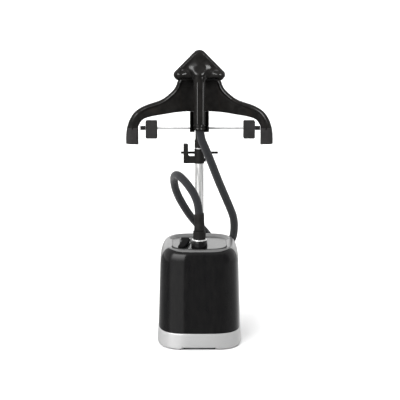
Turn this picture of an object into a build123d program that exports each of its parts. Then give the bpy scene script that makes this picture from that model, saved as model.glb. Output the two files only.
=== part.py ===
"""Upright garment steamer: base with a front water tank, telescopic pole, garment hanger with
trouser clips, and a steam head on a hose. Millimetres, +Z up, -Y is the front, and the origin
is on the floor under the middle of the base."""

import math
import os

from build123d import *

os.makedirs("parts", exist_ok=True)

# ---- base -------------------------------------------------------------------------------
base_half_width = 119.0
base_half_depth = 129.0
side_bow = 7.0
corner_radius = 68.0
base_taper = 1.75                # degrees, each side leans inward
skirt_bottom = 3.0
skirt_top = 48.0
housing_top = 284.0
shoulder_radius = 18.0
wall = 3.0
gap = 0.4                       # between pieces that part from each other
deck_top = 277.0
deck_thickness = 3.0
tank_seam_y = 20.0              # where the front cover meets the rear cover
rim_seam_y = -97.0              # where the front rim meets the top frame
rear_cover_top = 232.0
foot_spots = (85.0, 88.0)
foot_radius = 11.0
inlet_radius = 9.0
inlet_place = (-60.0, 72.0)     # mains inlet on the back, x and z
switch_place = (55.0, 90.0)     # power switch on the back, x and z
switch_size = (23.6, 28.0)
beyond = 140.0                  # past the base on every side, for cutting blocks

lever_x = -40.0                 # pin of the lever that locks the pole in its socket
lever_y = 30.0
lever_pin_z = 283.5
ear_reach = 15.6                # from the lever's middle to each of its ears
lever_pin_radius = 2.0
socket_flange_radius = 21.0
socket_radius = 19.0
pump_place = (55.0, 74.0)
boiler_place = (-48.0, 72.0)
pipe_radius = 4.5
cap_place = (-50.0, -66.0)      # filler cap of the water tank, x and y
valve_place = (50.0, 75.0)      # outlet valve of the water tank, x and z

# ---- hose connector on the deck ---------------------------------------------------------
connector_y = -67.0
boss_radius = 21.5
boss_top = 303.0
nut_radius = 18.3
nut_top = 330.0
cuff_top = 380.0
hose_radius = 11.5

# ---- pole -------------------------------------------------------------------------------
pole_y = 15.0
outer_radius = 12.5
outer_bore = 11.3
middle_radius = 10.75
middle_bore = 9.55
inner_radius = 9.0
inner_bore = 8.0
running_fit = 0.05
hook_collar_bottom = 510.0
hook_collar_top = 550.0
hook_collar_radius = 14.25
hook_floor = 528.0
hook_tip = 565.0
hook_reach = 44.6
hook_gap_reach = 32.0
peg_z = 535.6
peg_y = 37.0
peg_radius = 3.5
peg_half_length = 53.0
upper_collar_bottom = 553.6
upper_collar_top = 576.0
upper_collar_radius = 13.75
neck_bottom = 576.4
neck_top = 650.0
neck_radius = 11.5
inner_tube_top = 604.0

# ---- hanger -----------------------------------------------------------------------------
hanger_front_y = 1.0
hanger_back_y = 29.0
hanger_top = 750.0
hanger_wall = 3.0
cap_seam = 611.0
tip_inner_x = 172.5
tip_outer_x = 208.0
bar_height = 609.5
bar_radius = 3.4
bar_ends = (-167.0, 171.5)      # the bar sits a little to the right
bar_stop_length = 14.0
bar_stop_radius = 6.0
clip_places = (-135.5, 140.5)
clip_half_width = 16.5
clip_bottom = 580.0
clip_top = 631.0
clip_corner = 4.0

# ---- steam head -------------------------------------------------------------------------
handle_y = -45.0
handle_radius = 16.0
handle_bottom = 611.4
hose_end = 648.0
head_front_y = -60.0
head_back_y = -30.0
sole_thickness = 4.0
head_peak = 840.0
head_bottom = 746.5


def finish(piece, name):
    """Labels a finished piece and writes it as its own node."""
    piece.part.label = name
    export_step(piece.part, f"parts/{name}.step")


def disc(radius, bottom, top, x=0.0, y=0.0, mode=Mode.ADD):
    """Adds an upright cylinder to the part being built."""
    with Locations((x, y, (bottom + top) / 2)):
        Cylinder(radius, top - bottom, mode=mode)


def block(x_range, y_range, z_range, mode=Mode.ADD):
    """Adds a box given by its ranges to the part being built."""
    middle = [(low + high) / 2 for low, high in (x_range, y_range, z_range)]
    size = [high - low for low, high in (x_range, y_range, z_range)]
    with Locations(tuple(middle)):
        Box(*size, mode=mode)


def housing_form(bottom, top, inset=0.0, rounding=0.0):
    """The solid outer form of the base between two heights, inset all round."""
    shrink = bottom * math.tan(math.radians(base_taper)) + inset
    width, depth = base_half_width - shrink, base_half_depth - shrink
    with BuildPart() as form:
        with BuildSketch(Plane.XY.offset(bottom)) as outline:
            with BuildLine():
                x, y = width - side_bow, depth - side_bow
                ThreePointArc((-x, -y), (0, -depth), (x, -y))
                ThreePointArc((x, -y), (width, 0), (x, y))
                ThreePointArc((x, y), (0, depth), (-x, y))
                ThreePointArc((-x, y), (-width, 0), (-x, -y))
            make_face()
            fillet(outline.vertices(), corner_radius - inset)
        extrude(amount=top - bottom, taper=base_taper)
        if rounding:
            fillet(form.edges().group_by(Axis.Z)[-1], rounding)
    return form.part


def front_zone(lowered):
    """The space of the front cover in side view, its sloping top edge lowered by a gap."""
    top_edge = [(-140, 279), (-112, 279), (-92, 278.5), (-78, 275), (-69.5, 264), (-63, 250),
                (-56, 241), (-44, 233), (-10, 221), (11, 202), (tank_seam_y, 170)]
    with BuildPart() as zone:
        with BuildSketch(Plane.YZ):
            with BuildLine():
                points = [(y - lowered, z - lowered) for y, z in top_edge]
                Spline(points)
                Polyline(points[-1], (points[-1][0], 30), (points[0][0], 30), points[0])
            make_face()
        extrude(amount=beyond, both=True)
    return zone.part


def recess_outline(inset):
    """Outline of the sunken deck: narrower in front, wider behind the pole."""
    front, back = rim_seam_y + 4, 100.0
    narrow, wide = 77.5, 88.0
    half = [(0, front), (narrow, front), (narrow, 18), (wide, 40), (wide, back), (0, back)]
    with BuildSketch() as outline:
        with BuildLine():
            Polyline(half + [(-x, y) for x, y in reversed(half[1:-1])], close=True)
        make_face()
        fillet(outline.vertices(), 9.0)
        if inset:
            offset(amount=-inset, mode=Mode.REPLACE)
    return outline.sketch


# ======== base: fixed pieces ==============================================================

with BuildPart() as base_tray:
    add(housing_form(skirt_bottom + 3, skirt_top - 8, inset=wall + gap))
    add(housing_form(skirt_bottom + 7, skirt_top, inset=2 * wall + gap), mode=Mode.SUBTRACT)
    disc(24, skirt_bottom + 7, 30, 0, pole_y)
    disc(socket_radius + gap, 20, 31, 0, pole_y, mode=Mode.SUBTRACT)
finish(base_tray, "base_tray")

with BuildPart() as skirt:
    add(housing_form(skirt_bottom, skirt_top))
    add(housing_form(skirt_bottom - 1, skirt_top + 1, inset=wall), mode=Mode.SUBTRACT)
    block((-46, 46), (-beyond, -100), (skirt_bottom - 1, skirt_bottom + 7), mode=Mode.SUBTRACT)
finish(skirt, "skirt")

with BuildPart() as rubber_feet:
    for x in (-foot_spots[0], foot_spots[0]):
        for y in (-foot_spots[1], foot_spots[1]):
            disc(foot_radius, 0, skirt_bottom + 2.8, x, y)
    block((-45, 45), (-119, -112), (0.5, skirt_bottom + 2.8))
finish(rubber_feet, "rubber_feet")

with BuildPart() as rear_cover:
    add(housing_form(skirt_top + gap, housing_top, rounding=shoulder_radius))
    inner_form = housing_form(skirt_top - 1, housing_top - wall, wall, shoulder_radius - wall)
    add(inner_form, mode=Mode.SUBTRACT)
    block((-beyond, beyond), (tank_seam_y + gap, beyond), (0, rear_cover_top), mode=Mode.INTERSECT)
    with BuildSketch(Plane.XZ.offset(-110)):
        with Locations(inlet_place):
            Circle(inlet_radius + 0.2)
        with Locations(switch_place):
            Rectangle(switch_size[0] + 1, switch_size[1] + 2.6)
    extrude(amount=-30, mode=Mode.SUBTRACT)
finish(rear_cover, "rear_cover")

with BuildPart() as mains_inlet:
    with BuildSketch(Plane.XZ.offset(-112)):
        with Locations(inlet_place):
            Circle(inlet_radius)
            Circle(4, mode=Mode.SUBTRACT)
    extrude(amount=-15)
finish(mains_inlet, "mains_inlet")

with BuildPart() as top_frame:
    add(housing_form(skirt_top + gap, housing_top, rounding=shoulder_radius))
    add(inner_form, mode=Mode.SUBTRACT)
    add(front_zone(0), mode=Mode.SUBTRACT)
    block((-beyond, beyond), (tank_seam_y, beyond), (0, rear_cover_top + gap), mode=Mode.SUBTRACT)
    block((-beyond, beyond), (-beyond, rim_seam_y + gap), (0, 300), mode=Mode.SUBTRACT)
    with BuildSketch(Plane.XY.offset(260)):
        add(recess_outline(0))
    extrude(amount=40, mode=Mode.SUBTRACT)
finish(top_frame, "top_frame")

with BuildPart() as deck:
    with BuildSketch(Plane.XY.offset(deck_top - deck_thickness)):
        add(recess_outline(0.2))
    extrude(amount=housing_top - 1 - deck_top + deck_thickness)
    with BuildSketch(Plane.XY.offset(deck_top)):
        add(recess_outline(2.4))
    extrude(amount=20, mode=Mode.SUBTRACT)
    for radius, y in ((socket_radius + 0.2, pole_y), (12.2, connector_y)):
        disc(radius, 260, 280, 0, y, mode=Mode.SUBTRACT)
    for ear_x in (lever_x - ear_reach, lever_x + ear_reach):
        block((ear_x - 1.6, ear_x + 1.6), (lever_y - 5, lever_y + 5), (deck_top, 287.5))
    with BuildSketch(Plane.YZ.offset(lever_x - 20)):
        with Locations((lever_y, lever_pin_z)):
            Circle(lever_pin_radius + running_fit)
    extrude(amount=40, mode=Mode.SUBTRACT)
finish(deck, "deck")

with BuildPart() as pole_socket:
    disc(socket_radius, 20.2, 283, 0, pole_y)
    disc(socket_flange_radius, deck_top + 0.1, 282, 0, pole_y)
    disc(outer_radius + running_fit, 25, 290, 0, pole_y, mode=Mode.SUBTRACT)
    fillet(pole_socket.edges().group_by(Axis.Z)[-1], 0.8)
finish(pole_socket, "pole_socket")

# ---- what the base holds inside ----------------------------------------------------------

boiler_x, boiler_y = boiler_place
with BuildPart() as boiler:
    disc(36, 62, 150, boiler_x, boiler_y)
    fillet(boiler.edges().filter_by(GeomType.CIRCLE), 10)
    disc(28, 11, 62.5, boiler_x, boiler_y)
    disc(5, 149, 160, boiler_x, boiler_y)
    disc(32.8, 66, 146, boiler_x, boiler_y, mode=Mode.SUBTRACT)
    disc(3, 140, 170, boiler_x, boiler_y, mode=Mode.SUBTRACT)
finish(boiler, "boiler")

with BuildPart() as heating_element:
    with BuildSketch(Plane.XY.offset(74)):
        with Locations((boiler_x, boiler_y)):
            Circle(26)
            Circle(18, mode=Mode.SUBTRACT)
    extrude(amount=8)
    for x in (-22, 22):
        disc(3, 66.2, 74.5, boiler_x + x, boiler_y)
finish(heating_element, "heating_element")

with BuildPart() as thermostat:
    disc(11, 162, 172, boiler_x + 18, boiler_y)
    disc(4, 150.2, 162.5, boiler_x + 18, boiler_y)
finish(thermostat, "thermostat")

with BuildPart() as pump:
    block((30, 80), (52, 96), (11, 70))
    fillet(pump.edges().filter_by(Axis.Z), 12)
    disc(5, 69, 80, *pump_place)
    disc(2.6, 60, 90, *pump_place, mode=Mode.SUBTRACT)
finish(pump, "pump")


def pipe(route, radius, bore, bend):
    """A round pipe along straight runs with one bend radius."""
    with BuildPart() as tube:
        with BuildLine() as path:
            FilletPolyline(*route, radius=bend)
        plane = Plane(origin=path.line @ 0, z_dir=path.line % 0)
        with BuildSketch(plane):
            Circle(radius)
            Circle(bore, mode=Mode.SUBTRACT)
        sweep(path=path.line)
    return tube


pump_x, pump_y = pump_place
water_route = [(pump_x, pump_y, 80.2), (pump_x, pump_y, 110), (-11.8, pump_y, 110)]
water_pipe = pipe(water_route, pipe_radius, 2.5, 10)
finish(water_pipe, "water_pipe")

steam_route = [(boiler_x, boiler_y, 160.2), (boiler_x, boiler_y, 262), (boiler_x, connector_y, 262),
               (0, connector_y, 262), (0, connector_y, 273.8)]
steam_pipe = pipe(steam_route, pipe_radius, 2.8, 7)
finish(steam_pipe, "steam_pipe")

with BuildPart() as control_board:
    block((96, 98), (30, 72), (60, 150))
    block((88, 95.9), (38, 60), (80, 104))
finish(control_board, "control_board")

with BuildPart() as tank_seat:
    block((38, 62), (-2, 16), (10.2, 90))
    fillet(tank_seat.edges().filter_by(Axis.Z), 4)
    with BuildSketch(Plane.XZ.offset(3)):
        with Locations(valve_place):
            Circle(6.3)
    extrude(amount=-14, mode=Mode.SUBTRACT)
finish(tank_seat, "tank_seat")

with BuildPart() as housing_screws:
    for x, y in ((-60, -60), (60, -60), (-95, 10), (95, 10)):
        disc(4, 10.1, 12.5, x, y)
        disc(1.5, 12.4, 20, x, y)
finish(housing_screws, "housing_screws")

# ---- hose connector ----------------------------------------------------------------------

with BuildPart() as connector_boss:
    disc(12, 274, deck_top + 0.5, 0, connector_y)
    disc(boss_radius, deck_top + 0.1, boss_top - 0.1, 0, connector_y)
    fillet(connector_boss.edges().group_by(Axis.Z)[-1], 2.5)
    disc(3, 270, 310, 0, connector_y, mode=Mode.SUBTRACT)
finish(connector_boss, "connector_boss")

with BuildPart() as chrome_ring:
    disc(boss_radius + 0.4, boss_top, boss_top + 4, 0, connector_y)
    fillet(chrome_ring.edges().group_by(Axis.Z)[-1], 1.6)
    disc(10, boss_top - 1, boss_top + 5, 0, connector_y, mode=Mode.SUBTRACT)
finish(chrome_ring, "chrome_ring")

with BuildPart() as coupling_nut:
    disc(nut_radius, boss_top + 4.1, nut_top, 0, connector_y)
    chamfer(coupling_nut.edges().group_by(Axis.Z)[-1], 1.5)
    with BuildSketch(Plane.XY.offset(boss_top + 6)):
        with Locations((0, connector_y)):
            with PolarLocations(nut_radius + 1.4, 18):
                Circle(2)
    extrude(amount=nut_top - boss_top - 9, mode=Mode.SUBTRACT)
    disc(9, boss_top, nut_top + 1, 0, connector_y, mode=Mode.SUBTRACT)
finish(coupling_nut, "coupling_nut")

connector_plane = Plane(origin=(0, connector_y, 0), x_dir=(1, 0, 0), z_dir=(0, -1, 0))
hose_start = nut_top + 6
with BuildPart() as hose_cuff:
    with BuildSketch(connector_plane):
        with BuildLine():
            socket = hose_radius + 0.1
            flare = socket + 0.9
            Polyline((flare, cuff_top), (13.3, cuff_top), (14.6, nut_top + 0.1), (5, nut_top + 0.1),
                     (5, hose_start), (socket, hose_start), (socket, 354), (flare, 362), close=True)
        make_face()
    revolve(axis=Axis((0, connector_y, 0), (0, 0, 1)))
finish(hose_cuff, "hose_cuff")

# ---- hose ---------------------------------------------------------------------------------

hose_route = [
    (0, connector_y, hose_start + 0.2), (0, connector_y, 388), (-11, -75, 432),
    (-38, -58, 468), (-64, -20, 485), (-75, 28, 464), (-68, 62, 416), (-42, 86, 362),
    (-14, 108, 318), (14, 138, 286), (34, 157, 254), (32, 168, 216), (0, 173, 184),
    (-34, 173, 156), (-50, 173, 110), (-38, 173, 62), (2, 173, 32), (46, 172, 32),
    (80, 170, 58), (88, 164, 104), (83, 158, 152), (80, 154, 198), (88, 139, 238),
    (101, 114, 270), (103, 90, 302), (101, 68, 336), (91, 50, 367), (73, 27, 412),
    (53, 2, 462), (34, -22, 515), (18, -38, 556), (0, handle_y, 598), (0, handle_y, hose_end),
]


def corner_radii(route):
    """Largest tangent arc that each corner's two runs allow."""
    radii = []
    for before, at, after in zip(route, route[1:], route[2:]):
        arriving, leaving = Vector(*at) - Vector(*before), Vector(*after) - Vector(*at)
        half_turn = math.radians(arriving.get_angle(leaving)) / 2
        radii.append(0.45 * min(arriving.length, leaving.length) / math.tan(half_turn))
    return radii


hose_radii = corner_radii(hose_route)
with BuildPart() as steam_hose:
    with BuildLine() as hose_line:
        FilletPolyline(*hose_route, radius=hose_radii)
    with BuildSketch(Plane(origin=hose_line.line @ 0, z_dir=hose_line.line % 0)):
        Circle(hose_radius)
    sweep(path=hose_line.line)
finish(steam_hose, "steam_hose")
hose_length = sum(edge.length for edge in hose_line.line.edges())
print("hose length", round(hose_length), "radii", [round(r) for r in hose_radii])
print("hose volume ratio", steam_hose.part.volume / (hose_length * math.pi * hose_radius**2))

# ---- lower part of the pole ----------------------------------------------------------------

with BuildPart() as outer_tube:
    disc(outer_radius, 25.2, hook_collar_top - 12, 0, pole_y)
    disc(outer_bore, 20, 600, 0, pole_y, mode=Mode.SUBTRACT)
finish(outer_tube, "outer_tube")

pivot_angle = 115.0
pivot_reach = 19.0
ear_radius = 3.8
ear_height = 2.5
lock_pin_radius = 1.5


def pivot_place(height):
    """Where a lock lever's pin stands, behind the pole and a little to the left."""
    angle = math.radians(pivot_angle)
    return pivot_reach * math.cos(angle), pole_y + pivot_reach * math.sin(angle), height


def lock_ears(low, high, collar_radius):
    """Adds the two ears that hold a lock lever's pin to the collar being built."""
    x, y, _ = pivot_place(0)
    for bottom in (low, high - ear_height):
        with BuildSketch(Plane.XY.offset(bottom)) as ear:
            with BuildLine():
                Polyline((0, pole_y), (x - 3, y), (x + 3, y), close=True)
            make_face()
            with Locations((x, y)):
                Circle(ear_radius)
        extrude(ear.sketch, amount=ear_height)
    disc(lock_pin_radius + running_fit, low - 1, high + 1, x, y, mode=Mode.SUBTRACT)
    disc(collar_radius - 0.5, low - 1, high + 1, 0, pole_y, mode=Mode.SUBTRACT)


def lock_lever(low, high):
    """A lever that wraps the back of a collar from its pin round to the right-hand side."""
    x, y, _ = pivot_place(0)
    inner, outer = 14.9, 18.2
    with BuildPart() as lever:
        with BuildSketch(Plane.XY.offset(low + ear_height + 0.3)):
            with Locations((0, pole_y)):
                Circle(outer)
                Circle(inner, mode=Mode.SUBTRACT)
            with BuildLine():
                Polyline((0, pole_y), (-14, pole_y + 40), (60, pole_y + 40), (60, pole_y - 6), close=True)
            make_face(mode=Mode.INTERSECT)
            with Locations((x, y)):
                Circle(ear_radius)
        extrude(amount=high - low - 2 * ear_height - 0.6)
        disc(lock_pin_radius + running_fit, low, high, x, y, mode=Mode.SUBTRACT)
        disc(inner, low, high, 0, pole_y, mode=Mode.SUBTRACT)
    return lever


def lock_pin(low, high):
    """The pin that a lock lever swings on."""
    x, y, _ = pivot_place(0)
    with BuildPart() as pin:
        disc(lock_pin_radius, low, high, x, y)
    return pin


lower_lock = (510.2, 525.2)
upper_lock = (560.0, 573.0)

with BuildPart() as hook_collar:
    lock_ears(*lower_lock, hook_collar_radius)
    disc(hook_collar_radius, hook_collar_bottom, hook_collar_top, 0, pole_y)
    with BuildSketch(Plane.XZ.offset(-pole_y)) as hook:
        with BuildLine():
            Polyline((0, hook_collar_bottom), (-hook_reach, hook_collar_bottom), (-hook_reach, hook_tip),
                     (-hook_gap_reach, hook_tip), (-hook_gap_reach, hook_floor), (0, hook_floor),
                     close=True)
        make_face()
        fillet(hook.vertices().filter_by_position(Axis.X, -50, -20), 5)
    extrude(amount=9, both=True)
    block((-7, 7), (pole_y + 8, peg_y + 5), (peg_z - 6.6, peg_z + 6.6))
    with BuildSketch(Plane.YZ.offset(-20)):
        with Locations((peg_y, peg_z)):
            Circle(peg_radius + running_fit)
    extrude(amount=40, mode=Mode.SUBTRACT)
    disc(outer_radius + running_fit, 500, hook_collar_top - 11.8, 0, pole_y, mode=Mode.SUBTRACT)
    disc(middle_radius + running_fit, 500, 600, 0, pole_y, mode=Mode.SUBTRACT)
finish(hook_collar, "hook_collar")

with BuildPart() as cross_peg:
    with BuildSketch(Plane.YZ.offset(-peg_half_length)):
        with Locations((peg_y, peg_z)):
            Circle(peg_radius)
    extrude(amount=2 * peg_half_length)
    fillet(cross_peg.edges(), 1.2)
finish(cross_peg, "cross_peg")

lower_lock_lever = lock_lever(*lower_lock)
finish(lower_lock_lever, "lower_lock_lever")
lower_lock_pin = lock_pin(*lower_lock)
finish(lower_lock_pin, "lower_lock_pin")

# ======== pieces that move on the base ========================================================

with BuildPart() as pole_lock_lever:
    with BuildSketch(Plane.XY.offset(deck_top + 2.5)) as bar:
        with BuildLine():
            Polyline((-52.5, 34), (-31, 34), (-26.6, 13), (-42, -77), (-61, -77), (-49.8, 2),
                     (-53, 21), close=True)
        make_face()
        fillet(bar.vertices().group_by(Axis.Y)[0], 4)
    extrude(amount=8)
    fillet(pole_lock_lever.edges().group_by(Axis.Z)[-1], 1.5)
    with BuildSketch(Plane.YZ.offset(-70)):
        with Locations((lever_y, lever_pin_z)):
            Circle(lever_pin_radius + running_fit)
    extrude(amount=60, mode=Mode.SUBTRACT)
finish(pole_lock_lever, "pole_lock_lever")

with BuildPart() as lever_pin:
    with BuildSketch(Plane.YZ.offset(lever_x - ear_reach - 1)):
        with Locations((lever_y, lever_pin_z)):
            Circle(lever_pin_radius)
    extrude(amount=2 * ear_reach + 2)
finish(lever_pin, "lever_pin")

with BuildPart() as power_switch:
    x, z = switch_place
    width, height = switch_size
    block((x - width / 2, x + width / 2), (112, 126), (z - height / 2, z + height / 2))
    fillet(power_switch.edges().group_by(Axis.Y)[-1], 2)
finish(power_switch, "power_switch")

# ---- water tank, which slides out of the front -------------------------------------------------

with BuildPart() as tank_shell:
    add(housing_form(skirt_top + gap, housing_top, rounding=shoulder_radius))
    add(inner_form, mode=Mode.SUBTRACT)
    add(front_zone(gap), mode=Mode.INTERSECT)
finish(tank_shell, "tank_shell")

with BuildPart() as tank_rim:
    add(housing_form(skirt_top + gap, housing_top, rounding=shoulder_radius))
    add(inner_form, mode=Mode.SUBTRACT)
    add(front_zone(0), mode=Mode.SUBTRACT)
    block((-beyond, beyond), (-beyond, rim_seam_y), (200, 300), mode=Mode.INTERSECT)
finish(tank_rim, "tank_rim")

reservoir = (58.0, 240.0)
with BuildPart() as water_tank:
    add(housing_form(reservoir[0], reservoir[1], inset=wall + 1))
    block((-beyond, beyond), (-beyond, -12), (0, 300), mode=Mode.INTERSECT)
    hollow = housing_form(reservoir[0] + 3, reservoir[1] - 3, inset=2 * wall + 1)
    with BuildPart(mode=Mode.PRIVATE) as space:
        add(hollow)
        block((-beyond, beyond), (-beyond, -15), (0, 300), mode=Mode.INTERSECT)
    add(space.part, mode=Mode.SUBTRACT)
    disc(17, 230, 250, *cap_place, mode=Mode.SUBTRACT)
    with BuildSketch(Plane.XZ.offset(10)):
        with Locations(valve_place):
            Circle(6)
    extrude(amount=8, mode=Mode.SUBTRACT)
finish(water_tank, "water_tank")

with BuildPart() as tank_cap:
    cap_x, cap_y = cap_place
    disc(20, reservoir[1] + 0.3, reservoir[1] + 5, cap_x, cap_y)
    fillet(tank_cap.edges().group_by(Axis.Z)[-1], 1.5)
    disc(16.6, reservoir[1] - 5, reservoir[1] + 1, cap_x, cap_y)
    block((cap_x - 3, cap_x + 3), (cap_y + 19.5, cap_y + 24), (reservoir[1] + 0.3, reservoir[1] + 4.6))
finish(tank_cap, "tank_cap")

with BuildPart() as tank_valve:
    with BuildSketch(Plane.XZ.offset(17.5)):
        with Locations(valve_place):
            Circle(5.9)
    extrude(amount=-21)
    with BuildSketch(Plane.XZ.offset(18)):
        with Locations(valve_place):
            Circle(2.5)
    extrude(amount=-22, mode=Mode.SUBTRACT)
finish(tank_valve, "tank_valve")

# ======== telescopic pole =======================================================================

def sliding_tube(radius, bore, bottom, top):
    """A plain tube of the telescopic pole."""
    with BuildPart() as tube:
        disc(radius, bottom, top, 0, pole_y)
        disc(bore, bottom - 1, top + 1, 0, pole_y, mode=Mode.SUBTRACT)
    return tube


def tube_glide(outer, spigot, bottom, shoulder, top):
    """Plug in a tube's lower end, with a collar that glides in the next tube."""
    with BuildPart() as glide:
        disc(outer, bottom, shoulder, 0, pole_y)
        disc(spigot, bottom, top, 0, pole_y)
    return glide


middle_tube = sliding_tube(middle_radius, middle_bore, 34, 572.8)
finish(middle_tube, "middle_tube")
middle_glide = tube_glide(outer_bore - running_fit, middle_bore - running_fit, 26, 34, 44)
finish(middle_glide, "middle_glide")
inner_tube = sliding_tube(inner_radius, inner_bore, 54, inner_tube_top)
finish(inner_tube, "inner_tube")
inner_glide = tube_glide(middle_bore - running_fit, inner_bore - running_fit, 46, 54, 64)
finish(inner_glide, "inner_glide")

with BuildPart() as upper_collar:
    lock_ears(*upper_lock, upper_collar_radius)
    disc(upper_collar_radius, upper_collar_bottom, upper_collar_top, 0, pole_y)
    disc(middle_radius + running_fit, 550, 573, 0, pole_y, mode=Mode.SUBTRACT)
    disc(inner_radius + running_fit, 550, 600, 0, pole_y, mode=Mode.SUBTRACT)
finish(upper_collar, "upper_collar")
upper_lock_lever = lock_lever(*upper_lock)
finish(upper_lock_lever, "upper_lock_lever")
upper_lock_pin = lock_pin(*upper_lock)
finish(upper_lock_pin, "upper_lock_pin")

# ======== hanger ==================================================================================

with BuildPart() as hanger_neck:
    disc(neck_radius, neck_bottom, neck_top, 0, pole_y)
    disc(inner_radius + running_fit, neck_bottom - 1, inner_tube_top + 0.2, 0, pole_y, mode=Mode.SUBTRACT)
    with BuildSketch(Plane.YZ.offset(-20)):
        with Locations((pole_y, bar_height)):
            Circle(bar_radius + running_fit)
    extrude(amount=40, mode=Mode.SUBTRACT)
finish(hanger_neck, "hanger_neck")


def hanger_outline(inset):
    """Shoulder-shaped outline: a bell in the middle, sloping arms and hanging tips."""
    top_edge = [(60, 747), (64, 733), (77, 713), (107, 690), (154, 673), (181, 656), (197, 633),
                (206, 606), (tip_outer_x, 585)]
    under_edge = [(tip_inner_x, 617), (163, 627), (131, 641), (95, 650), (60, 656.5)]
    top_edge = [(x - inset, z - inset) for x, z in top_edge]
    under_edge = [(x + inset, z + inset) for x, z in under_edge] + [(0, 659 + inset)]
    peak = hanger_top - inset
    with BuildSketch() as outline:
        with BuildLine():
            Polyline((0, peak), (54 - inset, peak), top_edge[0])
            Spline(top_edge)
            Polyline(top_edge[-1], (top_edge[-1][0], 560), (under_edge[0][0], 560), under_edge[0])
            Spline(under_edge)
            Line(under_edge[-1], (0, peak))
        make_face()
        mirror(about=Plane.YZ)
    return outline.sketch


def hanger_shell(front, back, open_back):
    """One half of the hanger, a shallow tray open towards the other half."""
    plane = Plane.XZ.offset(-front)
    with BuildPart() as shell:
        with BuildSketch(plane):
            add(hanger_outline(0))
        extrude(amount=-(back - front))
        start = front + hanger_wall if open_back else front - 1
        depth = back - front - hanger_wall + 1
        with BuildSketch(Plane.XZ.offset(-start)):
            add(hanger_outline(0.85 * hanger_wall))
        extrude(amount=-depth, mode=Mode.SUBTRACT)
        block((-250, 250), (-10, 40), (cap_seam, 800), mode=Mode.INTERSECT)
    return shell


hanger_front = hanger_shell(hanger_front_y, pole_y - 0.1, True)
finish(hanger_front, "hanger_front")
hanger_back = hanger_shell(pole_y + 0.1, hanger_back_y, False)
finish(hanger_back, "hanger_back")


def side_span(side, near, far):
    """The range of x between two distances from the middle, on one side."""
    return tuple(sorted((side * near, side * far)))


for side, name in ((-1, "left_end_cap"), (1, "right_end_cap")):
    with BuildPart() as end_cap:
        block(side_span(side, tip_inner_x, 207), (hanger_front_y, hanger_back_y), (564, cap_seam - 0.3))
        fillet(end_cap.edges().filter_by(Axis.Z), 5)
        fillet(end_cap.edges().group_by(Axis.Z)[0], 4)
    finish(end_cap, name)

with BuildPart() as bar_end_stops:
    for outer_end, inward in zip(bar_ends, (1, -1)):
        with BuildSketch(Plane.YZ.offset(outer_end)):
            with Locations((pole_y, bar_height)):
                Circle(bar_stop_radius)
        extrude(amount=inward * bar_stop_length)
        with BuildSketch(Plane.YZ.offset(outer_end + inward * 2)):
            with Locations((pole_y, bar_height)):
                Circle(bar_radius + running_fit)
        extrude(amount=inward * bar_stop_length, mode=Mode.SUBTRACT)
finish(bar_end_stops, "bar_end_stops")

with BuildPart() as trouser_bar:
    with BuildSketch(Plane.YZ.offset(bar_ends[0] + 2.1)):
        with Locations((pole_y, bar_height)):
            Circle(bar_radius)
    extrude(amount=bar_ends[1] - bar_ends[0] - 4.2)
finish(trouser_bar, "trouser_bar")

# ---- holder for the steam head ---------------------------------------------------------------------

cradle_bottom, cradle_top = 607.0, 658.0
with BuildPart() as head_cradle:
    block((-26.5, 26.5), (-4, 3.3), (cradle_bottom, cradle_top))
    block((-26.5, 26.5), (-58, -3), (cradle_bottom, 611))
    for side in (-1, 1):
        block(side_span(side, 21.5, 26.5), (-34, -3), (cradle_bottom, cradle_top))
        block(side_span(side, 21.5, 26.5), (-58, -3), (cradle_bottom, 622))
    fillet(head_cradle.edges().filter_by(Axis.X).group_by(Axis.Y)[0], 1.2)
    disc(12.8, 600, 612, 0, handle_y, mode=Mode.SUBTRACT)
    block((-12.8, 12.8), (-60, handle_y), (600, 612), mode=Mode.SUBTRACT)
finish(head_cradle, "head_cradle")

# ---- trouser clips -----------------------------------------------------------------------------------

knuckle_radius = 5.0
jaw_gap = 5.3                    # from the bar's middle to the inside of each jaw
jaw_thickness = 3.0
centre_half = 8.0


def jaw(middle, toward, knuckle_spans):
    """A clip jaw on the bar: a plate, its knuckles round the bar and a gripping lip."""
    inside = pole_y + toward * jaw_gap
    outside = pole_y + toward * (jaw_gap + jaw_thickness)
    plate_y = tuple(sorted((inside, outside)))
    full = (middle - clip_half_width, middle + clip_half_width)
    with BuildPart() as piece:
        block(full, plate_y, (clip_bottom, clip_top))
        fillet(piece.edges().filter_by(Axis.Y), clip_corner)
        lip = tuple(sorted((inside, pole_y + toward * 0.2)))
        block((full[0] + clip_corner, full[1] - clip_corner), lip, (clip_bottom, clip_bottom + 8))
        for low, high in knuckle_spans:
            web = tuple(sorted((inside, pole_y + toward * 1)))
            block((middle + low, middle + high), web, (bar_height - 4, bar_height + 4))
            with BuildSketch(Plane.YZ.offset(middle + low)) as knuckle:
                with Locations((pole_y, bar_height)):
                    Circle(knuckle_radius)
            extrude(knuckle.sketch, amount=high - low)
        with BuildSketch(Plane.YZ.offset(middle - clip_half_width - 1)) as bore:
            with Locations((pole_y, bar_height)):
                Circle(bar_radius + running_fit)
        extrude(bore.sketch, amount=2 * clip_half_width + 2, mode=Mode.SUBTRACT)
    return piece


def clip_coil(middle):
    """The spring coil between the two jaws, above the bar."""
    with BuildPart() as coil:
        with BuildSketch(Plane.YZ.offset(middle - 6)) as ring:
            with Locations((pole_y + 2.3, bar_height + 11)):
                Circle(2.8)
                Circle(1.6, mode=Mode.SUBTRACT)
        extrude(ring.sketch, amount=12)
    return coil


for middle, name in zip(clip_places, ("left", "right")):
    outer_spans = ((-clip_half_width, -centre_half - gap), (centre_half + gap, clip_half_width))
    back_jaw = jaw(middle, 1, ((-centre_half, centre_half),))
    finish(back_jaw, f"{name}_clip_back_jaw")
    front_jaw = jaw(middle, -1, outer_spans)
    finish(front_jaw, f"{name}_clip_front_jaw")
    coil = clip_coil(middle)
    finish(coil, f"{name}_clip_spring")

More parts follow.
